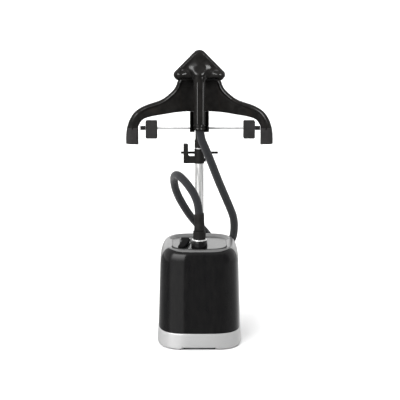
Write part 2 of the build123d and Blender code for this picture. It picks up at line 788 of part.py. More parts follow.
# ======== steam head =====================================================================================

def head_outline(inset):
    """The pointed plate: a right-angled peak over two rounded lobes."""
    shoulder, foot, arch = (76, 764), (62, head_bottom), (45, head_bottom + 5)
    half = [shoulder, foot, arch]
    with BuildSketch() as outline:
        with BuildLine():
            Polyline([(0, head_peak)] + half + [(-x, y) for x, y in reversed(half)], close=True)
        make_face()
        corners = outline.vertices().sort_by(Axis.Y)
        fillet(corners[-1], 20)
        fillet(outline.vertices().filter_by_position(Axis.Y, shoulder[1] - 1, shoulder[1] + 1), 12)
        fillet(outline.vertices().filter_by_position(Axis.Y, foot[1] - 1, foot[1] + 1), 8)
        if inset:
            offset(amount=-inset, mode=Mode.REPLACE)
    return outline.sketch


channel_radius = 4.0
trigger_z = (692.0, 734.0)
with BuildPart() as head_shell:
    with BuildSketch(Plane.XZ.offset(-head_back_y)):
        add(head_outline(0))
    extrude(amount=head_back_y - head_front_y)
    fillet(head_shell.faces().sort_by(Axis.Y)[0].edges(), 7)
    with BuildSketch(Plane.XZ.offset(-head_back_y - 1)):
        add(head_outline(4))
    extrude(amount=19, mode=Mode.SUBTRACT)
    disc(handle_radius, handle_bottom, 790, 0, handle_y)
    disc(handle_radius + 1.6, handle_bottom, 622, 0, handle_y)
    block((-20, 20), (head_back_y, 0), (head_bottom - 2, 800), mode=Mode.SUBTRACT)
    disc(hose_radius + 1.6, 600, 690, 0, handle_y, mode=Mode.SUBTRACT)
    disc(channel_radius + 0.2, 680, 780, 0, handle_y, mode=Mode.SUBTRACT)
    block((-6, 6), (-40, -20), trigger_z, mode=Mode.SUBTRACT)
finish(head_shell, "head_shell")

with BuildPart() as steam_channel:
    disc(channel_radius, 690.3, 779, 0, handle_y)
    disc(2.5, 680, 800, 0, handle_y, mode=Mode.SUBTRACT)
finish(steam_channel, "steam_channel")

with BuildPart() as soleplate:
    with BuildSketch(Plane.XZ.offset(-head_back_y)):
        add(head_outline(1.5))
    extrude(amount=-sole_thickness)
    fillet(soleplate.faces().sort_by(Axis.Y)[-1].edges(), 1.5)
    with BuildSketch(Plane.XZ.offset(-head_back_y + 1)):
        with Locations((0, 770)):
            with GridLocations(18, 12, 5, 2):
                Circle(1.8)
        with Locations((0, 797)):
            with GridLocations(18, 12, 3, 1):
                Circle(1.8)
    extrude(amount=-10, mode=Mode.SUBTRACT)
finish(soleplate, "soleplate")

with BuildPart() as steam_trigger:
    block((-5.6, 5.6), (-35, -27), (trigger_z[0] + 1, trigger_z[1] - 1))
    fillet(steam_trigger.faces().sort_by(Axis.Y)[-1].edges(), 1.8)
finish(steam_trigger, "steam_trigger")
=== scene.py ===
"""Looks of the upright garment steamer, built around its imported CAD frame.

Metres, +Z up, -Y is the front. Numbers in mm are turned into metres with MM."""

import math

import bmesh
import bpy
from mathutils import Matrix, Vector, kdtree


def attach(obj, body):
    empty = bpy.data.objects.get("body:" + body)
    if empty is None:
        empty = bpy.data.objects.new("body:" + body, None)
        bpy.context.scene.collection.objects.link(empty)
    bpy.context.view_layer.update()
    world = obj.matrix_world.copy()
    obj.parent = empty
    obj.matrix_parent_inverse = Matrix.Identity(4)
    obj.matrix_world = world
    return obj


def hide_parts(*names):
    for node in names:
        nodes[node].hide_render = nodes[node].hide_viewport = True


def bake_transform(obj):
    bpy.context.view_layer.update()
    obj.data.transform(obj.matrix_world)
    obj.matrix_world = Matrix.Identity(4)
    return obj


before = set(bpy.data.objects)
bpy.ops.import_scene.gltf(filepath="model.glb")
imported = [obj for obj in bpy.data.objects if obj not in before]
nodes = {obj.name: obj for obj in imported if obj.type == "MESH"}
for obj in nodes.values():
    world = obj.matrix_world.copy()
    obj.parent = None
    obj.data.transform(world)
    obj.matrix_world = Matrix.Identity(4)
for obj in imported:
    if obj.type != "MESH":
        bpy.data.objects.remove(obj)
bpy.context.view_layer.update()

MM = 0.001

# ======== camera ========

CAMERA_PLACE = Vector((0.0, -3.0, 1.0036))
CAMERA_TARGET = Vector((0.0, 0.0, 0.4047))
CAMERA_LENS = 96.6
SENSOR_WIDTH = 36.0
IMAGE_SHIFT = 0.0015
CAMERA_REACH = 500.0


def make_camera():
    data = bpy.data.cameras.new("camera")
    data.lens = CAMERA_LENS
    data.sensor_width = SENSOR_WIDTH
    data.shift_x = IMAGE_SHIFT
    data.clip_end = CAMERA_REACH
    camera = bpy.data.objects.new("camera", data)
    bpy.context.scene.collection.objects.link(camera)
    camera.location = CAMERA_PLACE
    camera.rotation_euler = (CAMERA_TARGET - CAMERA_PLACE).to_track_quat("-Z", "Y").to_euler()
    bpy.context.scene.camera = camera


make_camera()

# ======== material tools ========


def math_node(tree, operation, *values):
    """A maths node whose inputs are numbers or other nodes' outputs."""
    node = tree.nodes.new("ShaderNodeMath")
    node.operation = operation
    for socket, value in zip(node.inputs, values):
        if isinstance(value, (int, float)):
            socket.default_value = value
        else:
            tree.links.new(value, socket)
    return node.outputs[0]


def spread_node(tree, source, ends, new_ends, kind="LINEAR"):
    """Maps a source from one range to another."""
    node = tree.nodes.new("ShaderNodeMapRange")
    node.interpolation_type = kind
    for socket, value in zip(("From Min", "From Max", "To Min", "To Max"), (*ends, *new_ends)):
        node.inputs[socket].default_value = value
    tree.links.new(source, node.inputs["Value"])
    return node.outputs["Result"]


NOISE_ENDS = (0.3, 0.7)          # noise seldom leaves this range


class Shader:
    """A Principled material with short ways to add texture nodes."""

    def __init__(self, name, color, roughness, metallic=0.0, coat=0.0, specular=0.5):
        self.material = bpy.data.materials.new("finish_" + name)
        self.material.use_nodes = True
        self.tree = self.material.node_tree
        self.principled = self.tree.nodes["Principled BSDF"]
        self.set("Base Color", (*color, 1.0))
        self.set("Roughness", roughness)
        self.set("Metallic", metallic)
        self.set("Coat Weight", coat)
        self.set("Coat Roughness", 0.04)
        self.set("Specular IOR Level", specular)
        self.coords = self.tree.nodes.new("ShaderNodeTexCoord")

    def set(self, socket, value):
        self.principled.inputs[socket].default_value = value

    def node(self, kind, **inputs):
        made = self.tree.nodes.new(kind)
        for name, value in inputs.items():
            made.inputs[name.replace("_", " ")].default_value = value
        return made

    def link(self, source, target):
        self.tree.links.new(source, target)

    def noise(self, scale, detail=3.0, stretch=(1, 1, 1)):
        """Noise in the object's own coordinates, its scale in turns per metre."""
        mapping = self.tree.nodes.new("ShaderNodeMapping")
        mapping.inputs["Scale"].default_value = stretch
        self.link(self.coords.outputs["Object"], mapping.inputs["Vector"])
        noise = self.node("ShaderNodeTexNoise", Scale=scale, Detail=detail)
        self.link(mapping.outputs["Vector"], noise.inputs["Vector"])
        return noise.outputs["Fac"]

    def color_from(self, source, low, high):
        """Spreads the colour between two ends by a 0 to 1 source."""
        ramp = self.tree.nodes.new("ShaderNodeValToRGB")
        for element, position, color in zip(ramp.color_ramp.elements, NOISE_ENDS, (low, high)):
            element.position = position
            element.color = (*color, 1.0)
        self.link(source, ramp.inputs["Fac"])
        self.link(ramp.outputs["Color"], self.principled.inputs["Base Color"])

    def roughness_from(self, source, low, high):
        """Spreads the roughness in the same way."""
        spread = spread_node(self.tree, source, NOISE_ENDS, (low, high))
        self.link(spread, self.principled.inputs["Roughness"])

    def bump_from(self, source, strength, distance):
        """Fine relief that isn't in the mesh."""
        bump = self.node("ShaderNodeBump", Strength=strength, Distance=distance)
        self.link(source, bump.inputs["Height"])
        self.link(bump.outputs["Normal"], self.principled.inputs["Normal"])


def grey(shade):
    return (shade, shade, shade)


def finish(name, base, roughness, color, rough=None, bump=None, ior=None, **look):
    """A finish whose colour, roughness and fine relief each follow a noise.

    color and rough are (low, high, noise) and bump is (strength, distance, noise). A noise is
    a tuple of its scale, its detail and its stretch."""
    shader = Shader(name, base, roughness, **look)
    if ior:
        shader.set("IOR", ior)
    wanted = ((shader.color_from, color), (shader.roughness_from, rough), (shader.bump_from, bump))
    for give, values in wanted:
        if values:
            first, second, noise = values
            give(shader.noise(*noise), first, second)
    return shader.material


def grained(name, shade, low, high, rough):
    """Spark-eroded plastic with an even fine grain."""
    grain = (1800, 3)
    return finish(
        name, grey(shade), 0.5, (low, high, (60, 4)), (*rough, grain), (0.3, 0.0002, grain),
        ior=1.3, specular=0.25,
    )


def silver_paint(name, shade):
    """Silver lacquer: fine metal flake under a satin clear coat."""
    flake = (4000, 1)
    return finish(
        name, grey(shade), 0.32, (grey(0.9 * shade), grey(1.1 * shade), flake),
        (0.28, 0.38, (50, 4)), (0.05, 0.0001, flake), metallic=0.3, coat=0.1,
    )


def bare_metal(name, low, high, rough):
    """Unpolished metal of pins, screws, plates and fittings."""
    marks = (300, 5, (1, 1, 0.2))
    return finish(
        name, high, rough, (low, high, marks), (rough - 0.06, rough + 0.1, marks),
        (0.1, 0.0002, marks), metallic=1.0,
    )


def moulded(name, low, high, rough):
    """Plain moulded plastic or rubber of the hidden pieces."""
    grain = (900, 3)
    return finish(
        name, high, rough, (low, high, (45, 4)), (rough - 0.06, rough + 0.08, grain),
        (0.2, 0.0002, grain),
    )


def hose_sleeve():
    """Braided textile sleeve: two sets of slanting threads that pass over and under."""
    shader = Shader("hose_sleeve", (0.022, 0.023, 0.028), 0.75, specular=0.2)
    shader.set("Sheen Weight", 0.15)
    shader.set("Sheen Roughness", 0.5)
    tree = shader.tree
    split = shader.node("ShaderNodeSeparateXYZ")
    shader.link(shader.coords.outputs["UV"], split.inputs["Vector"])
    threads = []
    for sign in ("ADD", "SUBTRACT"):
        slanted = math_node(tree, sign, split.outputs["X"], split.outputs["Y"])
        threads.append(math_node(tree, "SINE", math_node(tree, "MULTIPLY", slanted, 2 * math.pi)))
    weave = spread_node(tree, math_node(tree, "MULTIPLY", *threads), (-1.0, 1.0), (0.0, 1.0))
    shader.color_from(weave, (0.005, 0.0055, 0.0065), (0.016, 0.0165, 0.019))
    shader.roughness_from(shader.noise(700, 3), 0.68, 0.85)
    shader.bump_from(weave, 0.5, 0.0006)
    return shader.material


WEAR = (90, 6, (1, 1, 0.25))
BRUSHED = (120, 5, (1, 14, 1))
DRAWN = (160, 4, (1, 1, 0.05))

MATERIALS = {
    # Injection-moulded black plastic, polished, with faint flow marks and hairline wear.
    "gloss_black": finish(
        "gloss_black", grey(0.005), 0.1,
        ((0.0035, 0.0035, 0.0038), (0.0060, 0.0058, 0.0058), WEAR),
        (0.06, 0.14, WEAR), (0.05, 0.0005, (22, 2)), specular=0.14,
    ),
    # Black lacquer of the hanger and the head, duller at grazing angles than the base's gloss.
    "lacquer_black": finish(
        "lacquer_black", grey(0.004), 0.14,
        ((0.0020, 0.0019, 0.0018), (0.0038, 0.0036, 0.0034), (70, 5)),
        (0.12, 0.2, (70, 5)), (0.05, 0.0005, (24, 2)), ior=1.14,
    ),
    # Black plastic of the deck lever, with hardly any shine.
    "soft_black": finish(
        "soft_black", grey(0.006), 0.6, (grey(0.0045), grey(0.0075), (50,)),
        bump=(0.15, 0.0001, (1800, 2)), ior=1.06, specular=0.2,
    ),
    # Fine-textured black plastic of the hanger's front panel.
    "satin_black": finish(
        "satin_black", (0.010, 0.009, 0.008), 0.4,
        ((0.0022, 0.0019, 0.0017), (0.0040, 0.0035, 0.0031), (40,)),
        (0.32, 0.46, (1500, 2)), (0.15, 0.0002, (1500, 2)), ior=1.2, specular=0.1,
    ),
    # Glossier, darker silver of the deck, brushed from side to side.
    "silver_deck": finish(
        "silver_deck", grey(0.06), 0.18,
        ((0.050, 0.052, 0.052), (0.074, 0.074, 0.072), BRUSHED),
        (0.13, 0.24, BRUSHED), (0.05, 0.0002, BRUSHED), metallic=0.6, coat=0.08,
    ),
    # Satin chrome plate with faint lengthwise draw lines.
    "chrome": finish(
        "chrome", grey(0.7), 0.25,
        ((0.58, 0.58, 0.575), (0.68, 0.68, 0.675), DRAWN),
        (0.22, 0.30, DRAWN), (0.03, 0.0002, DRAWN), metallic=0.6,
    ),
    # Flat white paint of the floor.
    "floor": finish("floor", grey(0.9), 0.9, (grey(0.90), grey(0.92), (3,)), specular=0.0),
    "dull_bar": bare_metal("dull_bar", (0.68, 0.68, 0.68), (0.80, 0.80, 0.80), 0.35),
    "matte_dark": grained(
        "matte_dark", 0.02, (0.006, 0.0057, 0.0054), (0.011, 0.0105, 0.010), (0.48, 0.64)),
    "grey_cap": grained(
        "grey_cap", 0.03, (0.015, 0.0145, 0.0145), (0.022, 0.021, 0.021), (0.42, 0.58)),
    "silver": silver_paint("silver_paint", 0.35),
    "silver_frame": silver_paint("silver_frame_paint", 0.17),
    "silver_rim": silver_paint("silver_rim_paint", 0.11),
    "steel": bare_metal("steel", (0.45, 0.45, 0.46), (0.62, 0.62, 0.63), 0.3),
    "aluminium": bare_metal("aluminium", (0.62, 0.62, 0.63), (0.76, 0.76, 0.77), 0.35),
    "brass_fitting": bare_metal("brass_fitting", (0.55, 0.40, 0.18), (0.72, 0.55, 0.26), 0.3),
    "rubber": moulded("rubber", (0.018, 0.018, 0.018), (0.030, 0.030, 0.030), 0.8),
    "pale_plastic": moulded("pale_plastic", (0.62, 0.62, 0.59), (0.72, 0.72, 0.69), 0.45),
    "circuit_board": moulded("circuit_board", (0.02, 0.12, 0.05), (0.04, 0.20, 0.09), 0.4),
    "smoked_tank": moulded("smoked_tank", (0.05, 0.052, 0.055), (0.08, 0.083, 0.088), 0.2),
    "hose_fabric": hose_sleeve(),
}

# ======== mesh tools ========

MERGE_CLOSED = 1e-7             # where a closed profile meets itself
MERGE_SHELL = 1e-5              # where a shell's columns run together


def lerp(a, b, t):
    return a + (b - a) * t


def evenly(start, end, count):
    """Evenly spaced values, both ends included."""
    return [lerp(start, end, i / count) for i in range(count + 1)]


def smoothstep(low, high, value):
    """Rises smoothly from 0 to 1 between two values."""
    t = min(max((value - low) / (high - low), 0.0), 1.0)
    return t * t * (3 - 2 * t)


def scaled(point):
    """A point in mm as one in metres."""
    return tuple(value * MM for value in point)


def from_bmesh(name, bm, material):
    """Turns a finished bmesh into a smooth-shaded piece of one material."""
    bmesh.ops.recalc_face_normals(bm, faces=bm.faces)
    mesh = bpy.data.meshes.new(name)
    bm.to_mesh(mesh)
    bm.free()
    mesh.materials.append(MATERIALS[material])
    for polygon in mesh.polygons:
        polygon.use_smooth = True
    piece = bpy.data.objects.new(name, mesh)
    bpy.context.scene.collection.objects.link(piece)
    return piece


def bridged(bm, rings, closed=True):
    """Quads between neighbouring rings of equal length. Returns the rings' vertices."""
    made = [[bm.verts.new(point) for point in ring] for ring in rings]
    for lower, upper in zip(made, made[1:]):
        count = len(lower)
        for i in range(count if closed else count - 1):
            j = (i + 1) % count
            bm.faces.new((lower[i], lower[j], upper[j], upper[i]))
    return made


def closed_solid(name, rings, material):
    """A solid through rings of points in metres, with a flat face at each end."""
    bm = bmesh.new()
    made = bridged(bm, rings)
    bm.faces.new(made[0])
    bm.faces.new(list(reversed(made[-1])))
    return from_bmesh(name, bm, material)


def soften(piece, width_mm=0.6, segments=3, angle=35):
    """Rounds a piece's hard edges and keeps its flat faces flat in shading."""
    bevel = piece.modifiers.new("edge_rounding", "BEVEL")
    bevel.width = width_mm * MM
    bevel.segments = segments
    bevel.limit_method = "ANGLE"
    bevel.angle_limit = math.radians(angle)
    weighted = piece.modifiers.new("shading", "WEIGHTED_NORMAL")
    weighted.keep_sharp = True


def add_wall(piece, thickness_mm, even=False):
    """Gives a sheet its wall thickness, inward."""
    wall = piece.modifiers.new("wall", "SOLIDIFY")
    wall.thickness = thickness_mm * MM
    wall.offset = -1.0
    wall.use_even_offset = even


def settle(piece, body, slot, *replaced):
    """Puts a piece on its body and hides the CAD nodes it stands for; its slot is not used."""
    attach(piece, body)
    if replaced:
        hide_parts(*replaced)
    return piece


def lathe(name, profile, centre, material, count=96, ripple=None):
    """Turns a profile of (radius, height) in mm about an upright axis at centre (x, y) in mm."""
    rings = []
    for radius, height in profile:
        ring = []
        for i in range(count):
            angle = 2 * math.pi * i / count
            grown = radius + (ripple(angle, height) if ripple else 0.0)
            x, y = centre[0] + grown * math.cos(angle), centre[1] + grown * math.sin(angle)
            ring.append(scaled((x, y, height)))
        rings.append(ring)
    if profile[0] != profile[-1]:
        return closed_solid(name, rings, material)
    bm = bmesh.new()
    bridged(bm, rings)
    bmesh.ops.remove_doubles(bm, verts=bm.verts, dist=MERGE_CLOSED)
    return from_bmesh(name, bm, material)


def rounded_step(radius, low, high, rounding, steps=4):
    """Profile of a disc with rounded rims, from its lower to its upper rim."""
    inner = radius - rounding
    arc = [(math.cos(a), math.sin(a)) for a in (math.pi / 2 * i / steps for i in range(steps + 1))]
    lower = [(inner + rounding * sin, low + rounding * (1 - cos)) for cos, sin in arc]
    upper = [(inner + rounding * cos, high - rounding * (1 - sin)) for cos, sin in arc]
    return lower + upper


def smooth_curve(points, samples):
    """Smooth curve through points (Catmull-Rom), evenly divided between each two."""
    padded = [points[0]] + list(points) + [points[-1]]
    made = []
    for a, b, c, d in zip(padded, padded[1:], padded[2:], padded[3:]):
        for i in range(samples):
            t = i / samples
            made.append(tuple(
                0.5 * (2 * q + (r - p) * t + (2 * p - 5 * q + 4 * r - s) * t ** 2
                       + (3 * q - p - 3 * r + s) * t ** 3)
                for p, q, r, s in zip(a, b, c, d)
            ))
    made.append(tuple(points[-1]))
    return made


def along(line, fraction):
    """Point of a 2-D polyline at a fraction of its length."""
    lengths = [math.dist(a, b) for a, b in zip(line, line[1:])]
    left = fraction * sum(lengths)
    for (a, b), length in zip(zip(line, line[1:]), lengths):
        if left <= length:
            t = left / length if length else 0.0
            return tuple(p + (q - p) * t for p, q in zip(a, b))
        left -= length
    return tuple(line[-1])


AXIS_ORDER = {"x": (2, 0, 1), "y": (0, 2, 1), "z": (0, 1, 2)}


def plate(name, outline, span, material, width_mm=0.8, segments=3, axis="y"):
    """A plate with rounded edges: an outline in mm, stretched between two places on one axis."""
    order = AXIS_ORDER[axis]
    rings = [
        [scaled([(*point, place)[i] for i in order]) for point in outline] for place in span
    ]
    piece = closed_solid(name, rings, material)
    soften(piece, width_mm, segments)
    return piece


def rounded_corners(corners, radius, steps=5):
    """Outline with its corners replaced by arcs, of one radius or of a list of radii."""
    radii = radius if isinstance(radius, (list, tuple)) else [radius] * len(corners)
    made = []
    for i, corner in enumerate(corners):
        before, here, after = (Vector(corners[k % len(corners)]) for k in (i - 1, i, i + 1))
        inward, outward = (before - here).normalized(), (after - here).normalized()
        half = inward.angle(outward) / 2
        if radii[i] <= 0:
            made.append(tuple(here))
            continue
        reach = radii[i] / math.tan(half)
        middle = here + (inward + outward).normalized() * radii[i] / math.sin(half)
        start, end = here + inward * reach - middle, here + outward * reach - middle
        sweep = start.angle_signed(end)
        for k in range(steps + 1):
            turn = -sweep * k / steps
            cos, sin = math.cos(turn), math.sin(turn)
            made.append((
                middle.x + start.x * cos - start.y * sin,
                middle.y + start.x * sin + start.y * cos,
            ))
    return made


# ======== steam hose ========

HOSE_RADIUS = 11.5
THREADS_ROUND = 30
HOSE_ROUTE = [
    (0, -67, 336.2), (0, -67, 388), (-11, -75, 432), (-38, -58, 468), (-64, -20, 485),
    (-75, 28, 464), (-68, 62, 416), (-42, 86, 362), (-14, 108, 318), (14, 138, 286),
    (34, 157, 254), (32, 168, 216), (0, 173, 184), (-34, 173, 156), (-50, 173, 110),
    (-38, 173, 62), (2, 173, 32), (46, 172, 32), (80, 170, 58), (88, 164, 104),
    (83, 158, 152), (80, 154, 198), (88, 139, 238), (101, 114, 270), (103, 90, 302),
    (101, 68, 336), (91, 50, 367), (73, 27, 412), (53, 2, 462), (34, -22, 515),
    (18, -38, 556), (0, -45, 598), (0, -45, 648),
]


def spline_line(route):
    """Points along the smooth spline that a route of points in mm controls."""
    data = bpy.data.curves.new("hose_route", "CURVE")
    data.dimensions = "3D"
    data.resolution_u = 20
    spline = data.splines.new("NURBS")
    spline.points.add(len(route) - 1)
    for point, place in zip(spline.points, route):
        point.co = (*scaled(place), 1.0)
    spline.order_u = 3
    spline.use_endpoint_u = True
    holder = bpy.data.objects.new("hose_route", data)
    bpy.context.scene.collection.objects.link(holder)
    bpy.context.view_layer.update()
    mesh = bpy.data.meshes.new_from_object(holder)
    line = [vertex.co.copy() for vertex in mesh.vertices]
    bpy.data.objects.remove(holder)
    bpy.data.meshes.remove(mesh)
    return line


def tube_along(name, line, radius, material, around=28):
    """A round tube along a line, with its threads' places in the UV map."""
    bm = bmesh.new()
    uv_layer = bm.loops.layers.uv.new("threads")
    side = Vector((1, 0, 0))
    rings, travelled = [], [0.0]
    for i, place in enumerate(line):
        before, after = line[max(i - 1, 0)], line[min(i + 1, len(line) - 1)]
        heading = (after - before).normalized()
        side = (side - heading * side.dot(heading)).normalized()
        other = heading.cross(side)
        rings.append([
            bm.verts.new(place + (side * math.cos(a) + other * math.sin(a)) * radius)
            for a in (2 * math.pi * k / around for k in range(around))
        ])
        if i:
            travelled.append(travelled[-1] + (place - before).length)
    thread = 2 * math.pi * radius / THREADS_ROUND
    for i, (lower, upper) in enumerate(zip(rings, rings[1:])):
        for k in range(around):
            m = (k + 1) % around
            face = bm.faces.new((lower[k], lower[m], upper[m], upper[k]))
            corners = ((k, i), (k + 1, i), (k + 1, i + 1), (k, i + 1))
            for loop, (turn, step) in zip(face.loops, corners):
                loop[uv_layer].uv = (THREADS_ROUND * turn / around, travelled[step] / thread)
    bm.faces.new(list(reversed(rings[0])))
    bm.faces.new(rings[-1])
    return from_bmesh(name, bm, material)


hose_line = spline_line(HOSE_ROUTE)
hose = tube_along("steam_hose_sleeve", hose_line, HOSE_RADIUS * MM, "hose_fabric")
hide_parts("steam_hose")
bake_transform(hose)

# ======== base: the shells' shared form ========

HALF_WIDTH = 119.0
HALF_DEPTH = 129.5
SQUARENESS = 3.5
LEAN = 0.0306
SKIRT_BOTTOM = 3.0
SKIRT_TOP = 48.0
TOP = 284.0
SHOULDER_IN = 19.0
SHOULDER_UP = 44.0
WALL_TOP = TOP - SHOULDER_UP
DECK = 277.0
SEAM_Y = 20.0
REAR_SEAM_Z = 232.0
GAP = 0.8
SEAM_STEP = 0.02
RIM_INSET = SHOULDER_IN
# Inset of the back edge of the dark strip of painted shade behind the rim.
GAP_SHADE_INSET = 32.0
RIM_HALF = 92.0
RECESS_HALF = 77.5
SEAM_LINE = smooth_curve([
    (-140, 278), (-112, 278.4), (-95, 281.4), (-76, 281.8), (-69.5, 272), (-65, 257), (-59, 243.5),
    (-46, 234), (-10, 222), (12, 202), (20, 170),
], 12)


def housing_point(turn, inset, height):
    """Point of the base's outer form at an angle from +X, inset from its outline at that height."""
    width = HALF_WIDTH - LEAN * height - inset
    depth = HALF_DEPTH - LEAN * height - inset
    cos, sin = math.cos(turn), math.sin(turn)
    reach = (abs(cos / width) ** SQUARENESS + abs(sin / depth) ** SQUARENESS) ** (-1 / SQUARENESS)
    return reach * cos, reach * sin, height


def side_profile(fraction):
    """Inset and height on the way up the wall, 0 to 1, and over the shoulder, 1 to 2."""
    if fraction <= 1:
        return 0.0, lerp(SKIRT_TOP, WALL_TOP, fraction)
    angle = (fraction - 1) * math.pi / 2
    return SHOULDER_IN * (1 - math.cos(angle)), WALL_TOP + SHOULDER_UP * math.sin(angle)


def wall_point(turn, fraction):
    """Point of the outer form at an angle and a fraction of its profile."""
    return housing_point(turn, *side_profile(fraction))


def profile_at(height):
    """The profile's fraction at a height."""
    if height <= WALL_TOP:
        return (height - SKIRT_TOP) / (WALL_TOP - SKIRT_TOP)
    return 1 + math.asin(min((height - WALL_TOP) / SHOULDER_UP, 1.0)) / (math.pi / 2)


def seam_height(y):
    """Height of the front cover's sloping top edge at a depth."""
    for (y0, z0), (y1, z1) in zip(SEAM_LINE, SEAM_LINE[1:]):
        if y <= y1:
            return lerp(z0, z1, (y - y0) / (y1 - y0))
    return SEAM_LINE[-1][1]


def last_where(test, low, high):
    """The last value between two others at which a test still holds."""
    for _ in range(40):
        middle = (low + high) / 2
        if test(middle):
            low = middle
        else:
            high = middle
    return low


def seam_fraction(turn):
    """Where the seam crosses the column of the wall at this angle."""
    def below_seam(fraction):
        _, y, height = wall_point(turn, fraction)
        return height < seam_height(y)
    return last_where(below_seam, 0.0, 2.0)


def turn_where(axis, value, inset, height, high=math.pi / 2):
    """Angle from the front round to the right at which the outline's x or y reaches a value."""
    def short_of_value(turn):
        return housing_point(turn, inset, height)[axis] < value
    return last_where(short_of_value, -math.pi / 2, high)


def shell(name, turns, ranges, material, rows=36, thickness_mm=3.0, edge_mm=0.7):
    """A piece of the base's outer form: at each angle it covers its own range of the profile."""
    columns = [
        [scaled(wall_point(turn, fraction)) for fraction in evenly(*ends, rows)]
        for turn, ends in zip(turns, ranges)
    ]
    bm = bmesh.new()
    bridged(bm, zip(*columns), closed=False)
    bmesh.ops.remove_doubles(bm, verts=bm.verts, dist=MERGE_SHELL)
    piece = from_bmesh(name, bm, material)
    thicken(piece, thickness_mm, edge_mm)
    return piece


def thicken(piece, thickness_mm, edge_mm):
    """Gives a shell its wall and rounds the wall's edges."""
    add_wall(piece, thickness_mm, even=True)
    soften(piece, edge_mm, 3, 50)


RIGHT_SEAM = turn_where(1, SEAM_Y, 0, 120)
RIM_END = turn_where(0, RIM_HALF, SHOULDER_IN / 2, TOP, high=0.0)
RIM_TURNS = evenly(-math.pi - RIM_END, RIM_END, 220)
FRONT_TURNS = (
    evenly(-math.pi - RIGHT_SEAM, -math.pi - RIM_END, 90)[:-1] + RIM_TURNS
    + evenly(RIM_END, RIGHT_SEAM, 90)[1:]
)
REAR_TURNS = evenly(RIGHT_SEAM, math.pi - RIGHT_SEAM, 120)

# ---- front cover of the water tank

FOOT_GAP = profile_at(SKIRT_TOP + GAP / 2)
front_seams = [seam_fraction(turn) for turn in FRONT_TURNS]
cover = shell(
    "tank_front_cover", FRONT_TURNS, [(FOOT_GAP, seam) for seam in front_seams],
    "gloss_black", rows=60,
)
settle(cover, "water_tank", "gloss_black", "tank_shell")

# ---- silver strip above it, which slides out with the tank

rim = shell(
    "tank_rim_strip", RIM_TURNS[1:-1],
    [(seam_fraction(turn) + SEAM_STEP, 2.0) for turn in RIM_TURNS[1:-1]],
    "silver_rim", rows=14, thickness_mm=2.4, edge_mm=0.6,
)
settle(rim, "water_tank", "silver", "tank_rim")

# ---- silver top frame with the sunken deck

RECESS_FRONT = -93.0
RECESS_BACK = 100.0
RECESS_BACK_HALF = 88.0
WIDENING_START = 18.0
WIDENING_END = 40.0
RECESS_MARGIN = 4.0              # least width of the flat top round the recess
RECESS_BEVEL = 9.0
EDGE_ROUNDING = 0.8
EDGE_FLAT = 1.2
right_corners = [
    (RECESS_HALF, RECESS_FRONT), (RECESS_HALF, WIDENING_START),
    (RECESS_BACK_HALF, WIDENING_END), (RECESS_BACK_HALF, RECESS_BACK),
]
recess_corners = right_corners + [(-x, y) for x, y in reversed(right_corners)]
recess_line = rounded_corners(recess_corners, [9, 30, 30, 26, 26, 30, 30, 9], 8)


def recess_reach(turn):
    """Distance from the middle to the recess's edge at an angle."""
    direction = Vector((math.cos(turn), math.sin(turn)))
    best = 0.0
    for i, first in enumerate(recess_line):
        a, b = Vector(first), Vector(recess_line[(i + 1) % len(recess_line)])
        side = b - a
        divisor = direction.x * side.y - direction.y * side.x
        if abs(divisor) < 1e-9:
            continue
        reach = (a.x * side.y - a.y * side.x) / divisor
        share = (a.x * direction.y - a.y * direction.x) / divisor
        if reach > 0 and -1e-6 <= share <= 1 + 1e-6:
            best = max(best, reach)
    shoulder = housing_point(turn, SHOULDER_IN + RECESS_MARGIN, TOP)
    return min(best, math.hypot(*shoulder[:2]))


def recess_point(turn, outward, height):
    """Point at a distance outside the recess's edge."""
    reach = recess_reach(turn) + outward
    return reach * math.cos(turn), reach * math.sin(turn), height


def top_frame_mesh():
    """Wall above the seams, shoulder, flat top and the recess's walls, all round."""
    bm = bmesh.new()
    rear_start = profile_at(REAR_SEAM_Z + GAP)
    lower, upper, shoulder_rows = 14, 8, 12

    def column(turn, start):
        """Points from a column's lower edge to the recess's foot."""
        split = max(start, rear_start)
        wall_end = max(split, 1.0)
        fractions = evenly(start, split, lower)[:-1] + evenly(split, wall_end, upper)[:-1]
        fractions += evenly(wall_end, 2.0, shoulder_rows)
        points = [wall_point(turn, fraction) for fraction in fractions]
        edge = recess_point(turn, 0.0, TOP)
        last = points[-1]
        if math.hypot(*last[:2]) < math.hypot(*edge[:2]) + EDGE_FLAT:
            points[-1] = recess_point(turn, EDGE_FLAT, TOP)
        bevel = RECESS_BEVEL * smoothstep(0.2, 0.8, math.sin(turn))
        return points + [
            recess_point(turn, EDGE_ROUNDING, TOP),
            recess_point(turn, 0.0, TOP - EDGE_ROUNDING),
            recess_point(turn, -bevel, DECK - 1.0),
        ]

    turns = FRONT_TURNS + REAR_TURNS[1:-1]
    starts = [seam + SEAM_STEP for seam in front_seams] + [rear_start] * len(REAR_TURNS[1:-1])
    columns = [column(turn, start) for turn, start in zip(turns, starts)]
    bridged(bm, [[scaled(point) for point in ring] for ring in zip(*columns)])
    bmesh.ops.remove_doubles(bm, verts=bm.verts, dist=MERGE_SHELL)
    return bm


def cut_out_rim(bm):
    """Removes the top frame's faces where the tank's rim and the dark strip of painted shade lie.
    """
    doomed = []
    for face in bm.faces:
        middle = face.calc_center_median() / MM
        turn = math.atan2(middle.y, middle.x)
        if not -math.pi - RIM_END < turn < RIM_END:
            continue
        edge = housing_point(turn, RIM_INSET, TOP)
        outside = math.hypot(middle.x, middle.y) > math.hypot(*edge[:2])
        if outside or abs(middle.x) < RECESS_HALF - 1.0:
            doomed.append(face)
    bmesh.ops.delete(bm, geom=doomed, context="FACES")


frame_bm = top_frame_mesh()
cut_out_rim(frame_bm)
top_frame = from_bmesh("top_frame_shell", frame_bm, "silver_frame")
thicken(top_frame, 1.6, 0.5)
settle(top_frame, "base", "silver", "top_frame")
